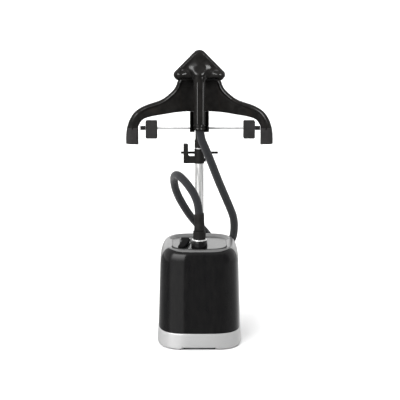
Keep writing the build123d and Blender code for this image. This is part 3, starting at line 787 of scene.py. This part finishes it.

# ---- dark strip between rim and deck, painted shade for the shaded gap there


def painted_gap_shade():
    """Dark curved strip behind the rim: painted shade where the gap between rim and deck lies in
    shadow.
    """
    bm = bmesh.new()
    limit = RECESS_HALF - 0.2
    front, back = RIM_INSET + 0.6, GAP_SHADE_INSET
    steps = [
        (front, DECK), (front, TOP - 0.5), (front + 1.0, TOP - 0.2),
        (back - 1.5, TOP - 0.2), (back, TOP - 1.4), (back, DECK),
    ]
    rings = []
    for inset, height in steps:
        end = turn_where(0, limit, inset, TOP, high=0.0)
        turns = evenly(-math.pi - end, end, 80)
        rings.append([scaled((*housing_point(turn, inset, TOP)[:2], height)) for turn in turns])
    made = bridged(bm, rings, closed=False)
    for side in (0, -1):
        bm.faces.new([ring[side] for ring in made])
    bm.faces.new(made[0] + made[-1][::-1])
    piece = from_bmesh("gap_shade_strip", bm, "matte_dark")
    soften(piece, 0.5, 2, 50)
    return piece


settle(painted_gap_shade(), "base", "matte_dark")

# ---- deck plate


def deck_plate():
    """The recess's floor, turned up a little where it meets the recess's walls."""
    turns = evenly(0, 2 * math.pi, 220)[:-1]
    steps = [(0.1, DECK + 1.4), (-1.2, DECK + 0.4), (-2.5, DECK)]
    rings = [[scaled(recess_point(turn, *step)) for turn in turns] for step in steps]
    for share in (0.85, 0.65, 0.45, 0.25, 0.1):
        rings.append([(x * share, y * share, DECK * MM) for x, y, _ in rings[2]])
    bm = bmesh.new()
    made = bridged(bm, rings)
    bm.faces.new(made[-1])
    piece = from_bmesh("deck_plate", bm, "silver_deck")
    add_wall(piece, 2.5)
    return piece


settle(deck_plate(), "base", "silver_deck", "deck")

# ---- skirt with its notch and the rubber pad in it

NOTCH_HALF = 46.0
NOTCH_RAMP = 5.0
NOTCH_RISE = 4.5
LIP = 1.0
FLARE = 1.0
TUCK = 1.6
# Shares of the skirt's height, and how far its edges are tucked in there.
SKIRT_ROWS = [
    (0.0, 1.2), (0.03, 0.35), (0.075, 0.0), (0.25, 0.0), (0.5, 0.0), (0.75, 0.0),
    (0.925, 0.0), (0.97, 0.35), (1.0, 1.2),
]


def skirt_mesh():
    """A flared band round the foot, raised over the notch in front."""
    turns = evenly(-math.pi, math.pi, 400)[:-1]
    rings = []
    for share, tuck in SKIRT_ROWS:
        ring = []
        for turn in turns:
            x, y, _ = housing_point(turn, 0, 0)
            rise = 0.0
            if y < 0:
                rise = NOTCH_RISE * smoothstep(NOTCH_HALF + NOTCH_RAMP, NOTCH_HALF, abs(x))
            height = lerp(SKIRT_BOTTOM + rise, SKIRT_TOP, share)
            flare = FLARE * smoothstep(SKIRT_TOP, SKIRT_BOTTOM, height)
            ring.append(scaled(housing_point(turn, tuck * TUCK - LIP - flare, height)))
        rings.append(ring)
    bm = bmesh.new()
    bridged(bm, rings)
    return bm


skirt = from_bmesh("skirt_ring", skirt_mesh(), "silver")
add_wall(skirt, 3)
settle(skirt, "base", "silver", "skirt")

# ---- rear cover

rear_range = (FOOT_GAP, profile_at(REAR_SEAM_Z))
rear = shell(
    "rear_cover_shell", REAR_TURNS, [rear_range] * len(REAR_TURNS), "silver_frame", rows=40,
)
settle(rear, "base", "silver", "rear_cover")

# ======== hose connector on the deck ========

CONNECTOR = (0.0, -67.0)
POLE = (0.0, 15.0)


def fluted(low, high, count, depth):
    """Ripple of shallow grip flutes between two heights."""
    def ripple(turn, height):
        inside = smoothstep(low, low + 2, height) * smoothstep(high, high - 2, height)
        return -depth * inside * (0.5 + 0.5 * math.cos(count * turn)) ** 3
    return ripple


boss_profile = [
    (12, 275), (21.4, 277.1), (22.2, 279), (22.9, 284), (23.0, 288), (22.3, 295), (21.2, 300),
    (20.4, 302.2), (19.4, 302.8), (12, 302.8),
]
boss = lathe("connector_boss_body", boss_profile, CONNECTOR, "gloss_black")
settle(boss, "base", "gloss_black", "connector_boss")

ring_profile = [(18.0, 302.9)] + rounded_step(21.0, 302.9, 307.0, 1.7, 6) + [(18.0, 307.0)]
ring = lathe("connector_chrome_ring", ring_profile, CONNECTOR, "chrome")
settle(ring, "base", "chrome", "chrome_ring")

nut_profile = [(12, 307.1), (17.2, 307.1), (17.8, 308.0)]
nut_profile += [(17.8, 309.5 + i * 1.5) for i in range(12)]
nut_profile += [(17.8, 327.5), (17.7, 329.0), (17.2, 330.0), (14.7, 330.0), (12, 330.0)]
flutes = fluted(309, 326, count=24, depth=0.7)
nut = lathe("coupling_nut_body", nut_profile, CONNECTOR, "matte_dark", 216, flutes)
settle(nut, "coupling_nut", "matte_dark", "coupling_nut")

cuff_profile = [
    (11.15, 331), (14.3, 330.2), (14.9, 331.0), (14.9, 340.0), (14.6, 340.6), (14.3, 352.0),
    (14.0, 352.6), (14.0, 353.4), (14.2, 354.0), (13.7, 372.0), (13.4, 378.5), (12.8, 380.0),
    (11.7, 380.2), (11.15, 379.0),
]
cuff = lathe("hose_cuff_body", cuff_profile + cuff_profile[:1], CONNECTOR, "matte_dark", 120)
settle(cuff, "base", "matte_dark", "hose_cuff")

# ======== lever that locks the pole in its socket ========

LEVER = [(-52.5, 34), (-31, 34), (-26.6, 13), (-42, -77), (-61, -77), (-49.8, 2), (-53, 21)]
LEVER_RADII = [2, 2, 3, 5, 5, 3, 2]
LEVER_HEIGHTS = (279.6, 287.5)
lever_outline = rounded_corners(LEVER, LEVER_RADII)
lever = plate("pole_lock_lever_body", lever_outline, LEVER_HEIGHTS, "soft_black", 1.2, axis="z")
settle(lever, "pole_lock_lever", "matte_dark", "pole_lock_lever")

# The two lugs that carry the lever's pin are rounded over the top.
EAR = [(24.8, 276.8), (24.8, 287), (35.2, 287), (35.2, 276.8)]
EAR_HALF = 1.6
for side, middle in (("left", -55.6), ("right", -24.4)):
    ear_outline = rounded_corners(EAR, [0, 5, 5, 0])
    span = (middle - EAR_HALF, middle + EAR_HALF)
    ear = plate(f"{side}_lever_ear", ear_outline, span, "silver_frame", 0.4, 2, axis="x")
    settle(ear, "base", "silver")

# ======== collar with the hose hook ========

HOOK = [(-8, 509.2), (-45.2, 509.2), (-45.2, 564.5), (-31.8, 564.5), (-31.8, 528.5), (-8, 528.5)]
collar_profile = [(12.6, 509)] + rounded_step(14.25, 509, 550.4, 1.0, 4) + [(12.6, 550.4)]
collar = lathe("hook_collar_ring", collar_profile + collar_profile[:1], POLE, "matte_dark", 96)
settle(collar, "base", "matte_dark", "hook_collar")
hook_outline = rounded_corners(HOOK, [0, 3, 2, 4.5, 6, 0])
hook = plate("hose_hook", hook_outline, (6.2, 23.8), "matte_dark", 1.4)
settle(hook, "base", "matte_dark")
BRACKET = [(-7, 529.5), (7, 529.5), (7, 542.5), (-7, 542.5)]
bracket = plate("peg_bracket", rounded_corners(BRACKET, 1.5), (27, 42), "matte_dark")
settle(bracket, "base", "matte_dark")

# ======== hanger ========

# Pairs of places on the top edge and the under edge, then the rim's width and the panel's depth.
HANGER_SPANS = [
    ((0, 752.5), (0, 657), 10, 3.0), ((30, 752.5), (24, 656.6), 10, 3.0),
    ((52, 752), (40, 656), 10, 3.0), ((61, 742), (50, 655.2), 10, 3.0),
    ((66, 728), (60, 654.4), 10, 3.0), ((78, 712), (74, 652.6), 10, 3.0),
    ((107, 690), (98, 648.5), 10.5, 3.0), ((154, 673), (135, 642), 13, 2.8),
    ((181, 656), (159, 633.4), 17, 2.2), ((197, 633), (171, 617), 24, 1.2),
    ((204.7, 611), (172.5, 611), 30, 0.0),
]
TIP_SPANS = [
    ((204.9, 610.4), (172.5, 610.4)), ((207, 596), (172.5, 596)),
    ((208, 580), (172.5, 580)), ((208, 565.5), (172.5, 564.0)),
]
HANGER_HALF_DEPTH = 14.0
HALF_SEAM = 0.15                 # half the gap between the front and the back half
EDGE_STEPS = 8
RIM_WIDTHS = (12, 30)            # rim widths of the arm and of the tip
TOP_ROUNDINGS = (9.2, 15.0)      # the edges' roundings at those two
UNDER_ROUNDINGS = (3.0, 12.0)


def smooth_spans():
    """The spans with smooth in-between stations."""
    flat = [(*top, *under, rim, panel) for top, under, rim, panel in HANGER_SPANS]
    return [
        ((a, b), (c, d), rim, max(panel, 0.0))
        for a, b, c, d, rim, panel in smooth_curve(flat, 8)
    ]


def half_section(width, rim, panel, round_top, round_under):
    """Distances from the top edge and rises above the middle plane, over one half of the hanger."""
    points = []
    full = HANGER_HALF_DEPTH - HALF_SEAM
    for i in range(EDGE_STEPS + 1):
        angle = math.pi / 2 * i / EDGE_STEPS
        points.append((round_top * (1 - math.cos(angle)), HALF_SEAM + full * math.sin(angle)))
    for i in range(1, 6):
        share = i / 5
        sunk = panel * smoothstep(0.25, 1, share)
        points.append((lerp(round_top, rim, share), HANGER_HALF_DEPTH - sunk))
    for i in range(1, 5):
        points.append((lerp(rim, width - round_under, i / 4), HANGER_HALF_DEPTH - panel))
    for i in range(EDGE_STEPS - 1, -1, -1):
        angle = math.pi / 2 * i / EDGE_STEPS
        across = width - round_under * (1 - math.cos(angle))
        points.append((across, HALF_SEAM + (full - panel) * math.sin(angle)))
    return points


def section_ring(top, under, inward, rim, panel, direction, mirror):
    """One station's ring toward the front (-1) or the back (+1) of the hanger.

    It runs square to the rim first, then down to the under edge."""
    straight = math.dist(top, under)
    rim = min(rim, straight - 2.5)
    corner = (top[0] + inward[0] * rim, top[1] + inward[1] * rim)
    rest = math.dist(corner, under)
    width = rim + rest
    tip_share = smoothstep(*RIM_WIDTHS, rim)
    round_top = min(lerp(*TOP_ROUNDINGS, tip_share), rim - 0.6)
    round_under = min(lerp(*UNDER_ROUNDINGS, tip_share), rest - 0.4)
    ring = []
    for distance, rise in half_section(width, rim, panel, round_top, round_under):
        if distance <= rim:
            x, z = (a + b * distance for a, b in zip(top, inward))
        else:
            x, z = (lerp(a, b, (distance - rim) / rest) for a, b in zip(corner, under))
        ring.append((mirror * x * MM, (POLE[1] + direction * rise) * MM, z * MM))
    return ring


def inward_normals(tops):
    """Directions square to the top edge, toward the hanger's inside."""
    normals = []
    for i in range(len(tops)):
        before, after = tops[max(i - 2, 0)], tops[min(i + 2, len(tops) - 1)]
        along_edge = Vector((after[0] - before[0], after[1] - before[1])).normalized()
        normals.append((along_edge.y, -along_edge.x))
    return normals


def hanger_half(name, direction, panel_share, material):
    """The front or the back half, from its left tip over the middle to its right tip."""
    spans = smooth_spans()
    stations = list(zip(spans, inward_normals([span[0] for span in spans])))
    rings = []
    for mirror, ordered in ((-1, reversed(stations)), (1, stations[1:])):
        for (top, under, rim, panel), inward in ordered:
            shape = (top, under, inward, rim, panel * panel_share)
            rings.append(section_ring(*shape, direction, mirror))
    return closed_solid(name, rings, material)


hanger_front = hanger_half("hanger_front_half", -1, 1.0, "lacquer_black")
settle(hanger_front, "pole_top", "gloss_black", "hanger_front")
hanger_back = hanger_half("hanger_back_half", 1, 0.0, "lacquer_black")
settle(hanger_back, "pole_top", "gloss_black", "hanger_back")

# The front panel between the rim and the under edge is satin, not polished.
hanger_front.data.materials.append(MATERIALS["satin_black"])
PANEL_FIRST, PANEL_LAST = EDGE_STEPS + 4, EDGE_STEPS + 9
PANEL_REACH = 66
ring_size = 2 * EDGE_STEPS + 11
middle = len(hanger_front.data.vertices) // ring_size // 2
for polygon in hanger_front.data.polygons:
    places = [index % ring_size for index in polygon.vertices]
    stations = [index // ring_size for index in polygon.vertices]
    inner = all(PANEL_FIRST <= place <= PANEL_LAST for place in places)
    if inner and max(abs(station - middle) for station in stations) < PANEL_REACH:
        polygon.material_index = 1


def end_cap(name, mirror):
    """The hanger's outline carried on down to a blunt, rounded tip."""
    rings = []
    spans = [(*top, *under) for top, under in TIP_SPANS]
    for a, b, c, d in smooth_curve(spans, 4):
        shape = ((a, b), (c, d), (-1, 0), 30, 0.0)
        front, back = (section_ring(*shape, direction, mirror) for direction in (-1, 1))
        rings.append(front + back[::-1])
    last = [Vector(point) for point in rings[-1]]
    centre = sum(last, Vector()) / len(last)
    for scale, drop in ((0.97, 0.6), (0.90, 1.2), (0.6, 1.5)):
        below = centre - Vector((0, 0, drop * MM))
        rings.append([tuple(below + (point - centre) * scale) for point in last])
    return closed_solid(name, rings, "grey_cap")


for mirror, side in ((-1, "left"), (1, "right")):
    settle(end_cap(f"{side}_tip_cap", mirror), "pole_top", "matte_dark", f"{side}_end_cap")

# ======== steam head ========

HEAD_OUTLINE = rounded_corners(
    [(0, 840), (-76, 764), (-62, 746.5), (-45, 751.5), (45, 751.5), (62, 746.5), (76, 764)],
    [21, 13, 9, 20, 20, 9, 13], 12,
)
HEAD_MIDDLE = Vector((0, 781))
HEAD_BACK = -30.0
HANDLE_Y = -45.0
HANDLE_RADIUS = 16.0
HANDLE_CREST = HEAD_BACK - HANDLE_Y + HANDLE_RADIUS
GRIP_POWER = 3
GRIP_FOOT = (622, 634)           # heights over which the grip turns from round to square
GRIP_NECK = (768, 752)
LEAST_RISE = 0.6
PLATE_RISE = 13.0
PLATE_EDGE = 10.0
SLANT_START = (765, 780)         # heights over which the plate's slanted upper part begins
BEAD_RISE, BEAD_IN, BEAD_WIDTH = 1.8, 5.5, 2.2
HOLLOW_DEPTH, HOLLOW_IN = 2.5, (7, 16)
LOBE_RISE, LOBE_X, LOBE_Z = 8.0, 52, 763
LOBE_WIDTH, LOBE_HEIGHT = 15, 12
RIDGE_CREST, RIDGE_RADIUS = 9.0, 46.0
RIDGE_SINKS = (758, 806)
RIDGE_WIDENS = (754, 794)
RIDGE_ROUND_SHARE = 0.94         # beyond this share of its radius its flank runs straight
BLEND, BLEND_IN = 11, (0, 16)


def even_loop(corners, count):
    """Points evenly spaced round a closed outline."""
    line = list(corners) + [corners[0]]
    return [along(line, i / count) for i in range(count)]


def smooth_max(a, b, softness):
    """The larger of two values, with a rounded change from one to the other."""
    return (a + b + math.sqrt((a - b) ** 2 + softness ** 2)) / 2


def plate_height(x, z, depth_in):
    """Rise of the plate: a rounded edge, a thin bead inside it and two full lobes below."""
    edge = math.sqrt(1 - (1 - min(depth_in / PLATE_EDGE, 1.0)) ** 2)
    slanted = smoothstep(*SLANT_START, z)
    bead = BEAD_RISE * slanted * math.exp(-((depth_in - BEAD_IN) / BEAD_WIDTH) ** 2)
    hollow = -HOLLOW_DEPTH * smoothstep(*HOLLOW_IN, depth_in) * slanted
    across, up = (abs(x) - LOBE_X) / LOBE_WIDTH, (z - LOBE_Z) / LOBE_HEIGHT
    lobe = LOBE_RISE * math.exp(-across ** 2 - up ** 2)
    return edge * (PLATE_RISE + bead + hollow + lobe)


def ridge_height(x, z):
    """Rise of the handle as it widens and sinks into the plate."""
    crest = lerp(HANDLE_CREST, RIDGE_CREST, smoothstep(*RIDGE_SINKS, z))
    radius = lerp(HANDLE_RADIUS, RIDGE_RADIUS, smoothstep(*RIDGE_WIDENS, z))
    reach = RIDGE_ROUND_SHARE * radius
    if abs(x) < reach:
        return crest - radius + math.sqrt(radius ** 2 - x ** 2)
    height = math.sqrt(radius ** 2 - reach ** 2)
    return crest - radius + height - reach / height * (abs(x) - reach)


def head_plate():
    """The head's front, from a flat back over its rim to a domed middle."""
    count, rows = 260, 46
    outline = [Vector(point) for point in even_loop(HEAD_OUTLINE, count)]
    tree = kdtree.KDTree(count * 4)
    for i, (x, z) in enumerate(even_loop(HEAD_OUTLINE, count * 4)):
        tree.insert((x, z, 0), i)
    tree.balance()
    rings = [[scaled((x, HEAD_BACK, z)) for x, z in outline]]
    for row in range(rows):
        shrink = 1 - (row / rows) ** 1.6
        ring = []
        for point in outline:
            x, z = HEAD_MIDDLE + (point - HEAD_MIDDLE) * shrink
            depth_in = tree.find((x, z, 0))[2] if row else 0.0
            softness = BLEND * smoothstep(*BLEND_IN, depth_in)
            plain = plate_height(x, z, depth_in)
            rise = max(smooth_max(plain, ridge_height(x, z), softness), LEAST_RISE)
            ring.append(scaled((x, HEAD_BACK - rise, z)))
        rings.append(ring)
    return closed_solid("head_plate", rings, "lacquer_black")


head_plate_piece = settle(head_plate(), "steam_head", "gloss_black", "head_shell")

handle_profile = [
    (12.6, 650), (12.6, 612), (13.4, 611.4), (16.4, 611.4), (17.2, 612.2), (17.4, 615),
    (17.0, 617.5), (16.3, 618.2), (16.2, 621.0), (16.8, 621.8), (16.9, 623.5), (16.5, 624.8),
    (16.0, 626), (16.0, 640), (16.0, 680), (16.0, 720), (16.0, 752), (15.8, 764), (15.0, 769),
    (6.0, 770), (6.0, 650),
]


def squared_grip(turn, height):
    """Pushes the round grip out toward a rounded square, which leaves its front almost flat."""
    round_sum = abs(math.cos(turn)) ** GRIP_POWER + abs(math.sin(turn)) ** GRIP_POWER
    share = smoothstep(*GRIP_FOOT, height) * smoothstep(*GRIP_NECK, height)
    return share * HANDLE_RADIUS * (round_sum ** (-1 / GRIP_POWER) - 1)


handle = lathe(
    "head_handle", handle_profile + handle_profile[:1], (0.0, HANDLE_Y), "lacquer_black",
    96, squared_grip,
)
settle(handle, "steam_head", "gloss_black")

# Two fine raised lines of pale silver paint run down the front of the grip, a little to the right:
# painted highlights where the grip's edges catch the light.
GRIP_HIGHLIGHT_RADIUS = 0.8
GRIP_HIGHLIGHT_DEPTH = 0.3            # how deep its middle lies under the grip's surface
GRIP_HIGHLIGHT_SINK = 2.5


def grip_highlight_line(name, x):
    """A pale raised line down the grip, a painted highlight, at one distance from its middle, sunk
    in at both ends.
    """
    surface = (HANDLE_RADIUS ** GRIP_POWER - abs(x) ** GRIP_POWER) ** (1 / GRIP_POWER)
    front = HANDLE_Y - surface + GRIP_HIGHLIGHT_DEPTH
    sunk = front + GRIP_HIGHLIGHT_SINK
    stations = [(x, sunk, 628), (x, front, 640), (x, front, 735), (x, sunk, 752)]
    line = [Vector(station) * MM for station in smooth_curve(stations, 6)]
    return tube_along(name, line, GRIP_HIGHLIGHT_RADIUS * MM, "silver_rim")


for side, x in (("left", -5.6), ("right", 10.2)):
    settle(grip_highlight_line(f"{side}_grip_highlight_line", x), "steam_head", "gloss_black")

# ======== ring above the hook collar, and the cradle that the head stands in ========

RING_BOTTOM, RING_TOP = 550.8, 553.2
ring_profile = [(10.9, RING_BOTTOM)] + rounded_step(13.4, RING_BOTTOM, RING_TOP, 0.5, 3)
ring_profile += [(10.9, RING_TOP), ring_profile[0]]
upper_ring = lathe("upper_collar_ring", ring_profile, POLE, "chrome", 96)
settle(upper_ring, "middle_tube", "chrome")


def rectangle(x_span, z_span, mirror=1):
    """Corners of an upright rectangle, from its lower inner corner on."""
    (near, far), (low, high) = x_span, z_span
    return [(mirror * x, z) for x, z in ((near, low), (far, low), (far, high), (near, high))]


CRADLE_HALF = 26.5
CRADLE_BOTTOM, CRADLE_TOP = 607, 658
cradle_outline = rectangle((-CRADLE_HALF, CRADLE_HALF), (CRADLE_BOTTOM, CRADLE_TOP))
cradle = plate("cradle_back", rounded_corners(cradle_outline, 1.5), (-4, 3.3), "satin_black")
settle(cradle, "pole_top", "matte_dark", "head_cradle")
# For each part of a side: its spans along x, y and z, its material and its edges' rounding.
CRADLE_SIDE = {
    "arm": ((21.5, CRADLE_HALF), (-34, -3), (CRADLE_BOTTOM, CRADLE_TOP), "lacquer_black", 1.6),
    "lip": ((21.5, CRADLE_HALF), (-58, -33), (CRADLE_BOTTOM, 622), "lacquer_black", 1.6),
    "floor": ((13.2, 22), (-58, -3), (CRADLE_BOTTOM, 611), "satin_black", 1.0),
}
for mirror, side in ((-1, "left"), (1, "right")):
    for part, (x_span, y_span, z_span, finish, rounding) in CRADLE_SIDE.items():
        outline = rectangle(x_span, z_span, mirror)
        piece = plate(f"{side}_cradle_{part}", outline, y_span, finish, rounding)
        settle(piece, "pole_top", "matte_dark")

# ======== CAD pieces that keep their shape ========

OWN_FINISH = {
    "trouser_bar": "dull_bar",
    "left_clip_front_jaw": "grey_cap",
    "right_clip_front_jaw": "grey_cap",
}
for name, piece in nodes.items():
    for material_slot in piece.material_slots:
        finish = OWN_FINISH.get(name, material_slot.material.name)
        material_slot.material = MATERIALS[finish]

# ======== floor and light ========

FLOOR_HALF = 150.0


def make_floor():
    """A wide pale floor that only stages the object."""
    bm = bmesh.new()
    corners = [(-1, -1), (1, -1), (1, 1), (-1, 1)]
    bm.faces.new([bm.verts.new((x * FLOOR_HALF, y * FLOOR_HALF, 0)) for x, y in corners])
    floor = from_bmesh("floor", bm, "floor")
    floor.visible_glossy = False


make_floor()

# Strengths of the room's light in each direction.
LOWER_LIGHT = 0.5
RIGHT_LIGHT = 0.75               # added to the lower light on the right
SKY_LIGHT = 1.75
FRONT_SHADE = 0.75               # share of the sky's light that is missing in front
PANEL_LIGHT = 1.7
PANEL_GLOW = 9.5                 # how much brighter the panel is at its top
# Where each of them changes: heights as the sine of the angle of view, bearings in degrees.
HORIZON = (-0.03, 0.005)
SHADE_TOP = (0.5, 0.85)
SHADE_FRONT = (0.0, 0.5)
GLOW_RISE = (0.08, 0.6)
PANEL_TOP = (0.6, 0.72)
PANEL_LEFT = (-78, -54)
PANEL_RIGHT = (-13.5, -11.5)
RIGHT_SIDE = (25, 80)


def make_studio():
    """A pale room: white above, grey below the horizon, one tall bright panel to the left."""
    world = bpy.data.worlds.new("studio")
    world.use_nodes = True
    bpy.context.scene.world = world
    tree = world.node_tree
    tree.nodes.clear()

    def step(source, ends, low, high):
        return spread_node(tree, source, ends, (low, high), "SMOOTHSTEP")

    def times(first, second):
        return math_node(tree, "MULTIPLY", first, second)

    def bearing_step(ends, low, high):
        return step(bearing, [math.radians(end) for end in ends], low, high)

    coords = tree.nodes.new("ShaderNodeTexCoord")
    split = tree.nodes.new("ShaderNodeSeparateXYZ")
    tree.links.new(coords.outputs["Generated"], split.inputs["Vector"])
    height = split.outputs["Z"]
    toward = times(split.outputs["Y"], -1.0)
    bearing = math_node(tree, "ARCTAN2", split.outputs["X"], toward)

    sky = step(height, HORIZON, 0.0, 1.0)
    below = math_node(tree, "SUBTRACT", 1.0, sky)
    ground = times(below, bearing_step(RIGHT_SIDE, LOWER_LIGHT, LOWER_LIGHT + RIGHT_LIGHT))
    front = times(step(toward, SHADE_FRONT, 0.0, FRONT_SHADE), step(height, SHADE_TOP, 1.0, 0.0))
    upper = times(sky, math_node(tree, "SUBTRACT", 1.0, front))
    panel = times(bearing_step(PANEL_LEFT, 0.0, 1.0), bearing_step(PANEL_RIGHT, 1.0, 0.0))
    panel = times(panel, step(height, GLOW_RISE, 1.0, PANEL_GLOW))
    panel = times(panel, step(height, PANEL_TOP, 1.0, 0.0))
    plain = math_node(tree, "ADD", ground, times(upper, SKY_LIGHT))
    light = math_node(tree, "ADD", plain, times(panel, PANEL_LIGHT))
    background = tree.nodes.new("ShaderNodeBackground")
    tree.links.new(light, background.inputs["Strength"])
    output = tree.nodes.new("ShaderNodeOutputWorld")
    tree.links.new(background.outputs["Background"], output.inputs["Surface"])


make_studio()


def softbox(name, place, target, width, height, power, lit):
    """A rectangular light that shines only on the named pieces, as a flagged studio lamp does."""
    data = bpy.data.lights.new(name, "AREA")
    data.shape = "RECTANGLE"
    data.size = width
    data.size_y = height
    data.energy = power
    light = bpy.data.objects.new(name, data)
    bpy.context.scene.collection.objects.link(light)
    light.location = place
    light.rotation_euler = (Vector(target) - Vector(place)).to_track_quat("-Z", "Y").to_euler()
    light.visible_camera = False
    receivers = bpy.data.collections.new(name + "_lit")
    for piece in lit:
        receivers.objects.link(piece)
    light.light_linking.receiver_collection = receivers


KEY_TARGET = (0, 0, 0.75)
upper_pieces = [head_plate_piece, handle, hanger_front, hanger_back]
softbox("key_left", (-1.5, -1.6, 1.7), KEY_TARGET, 0.9, 1.1, 130, upper_pieces)
softbox("key_right", (1.4, -1.7, 1.5), KEY_TARGET, 0.8, 1.1, 190, upper_pieces)

bpy.context.scene.view_settings.view_transform = "Standard"
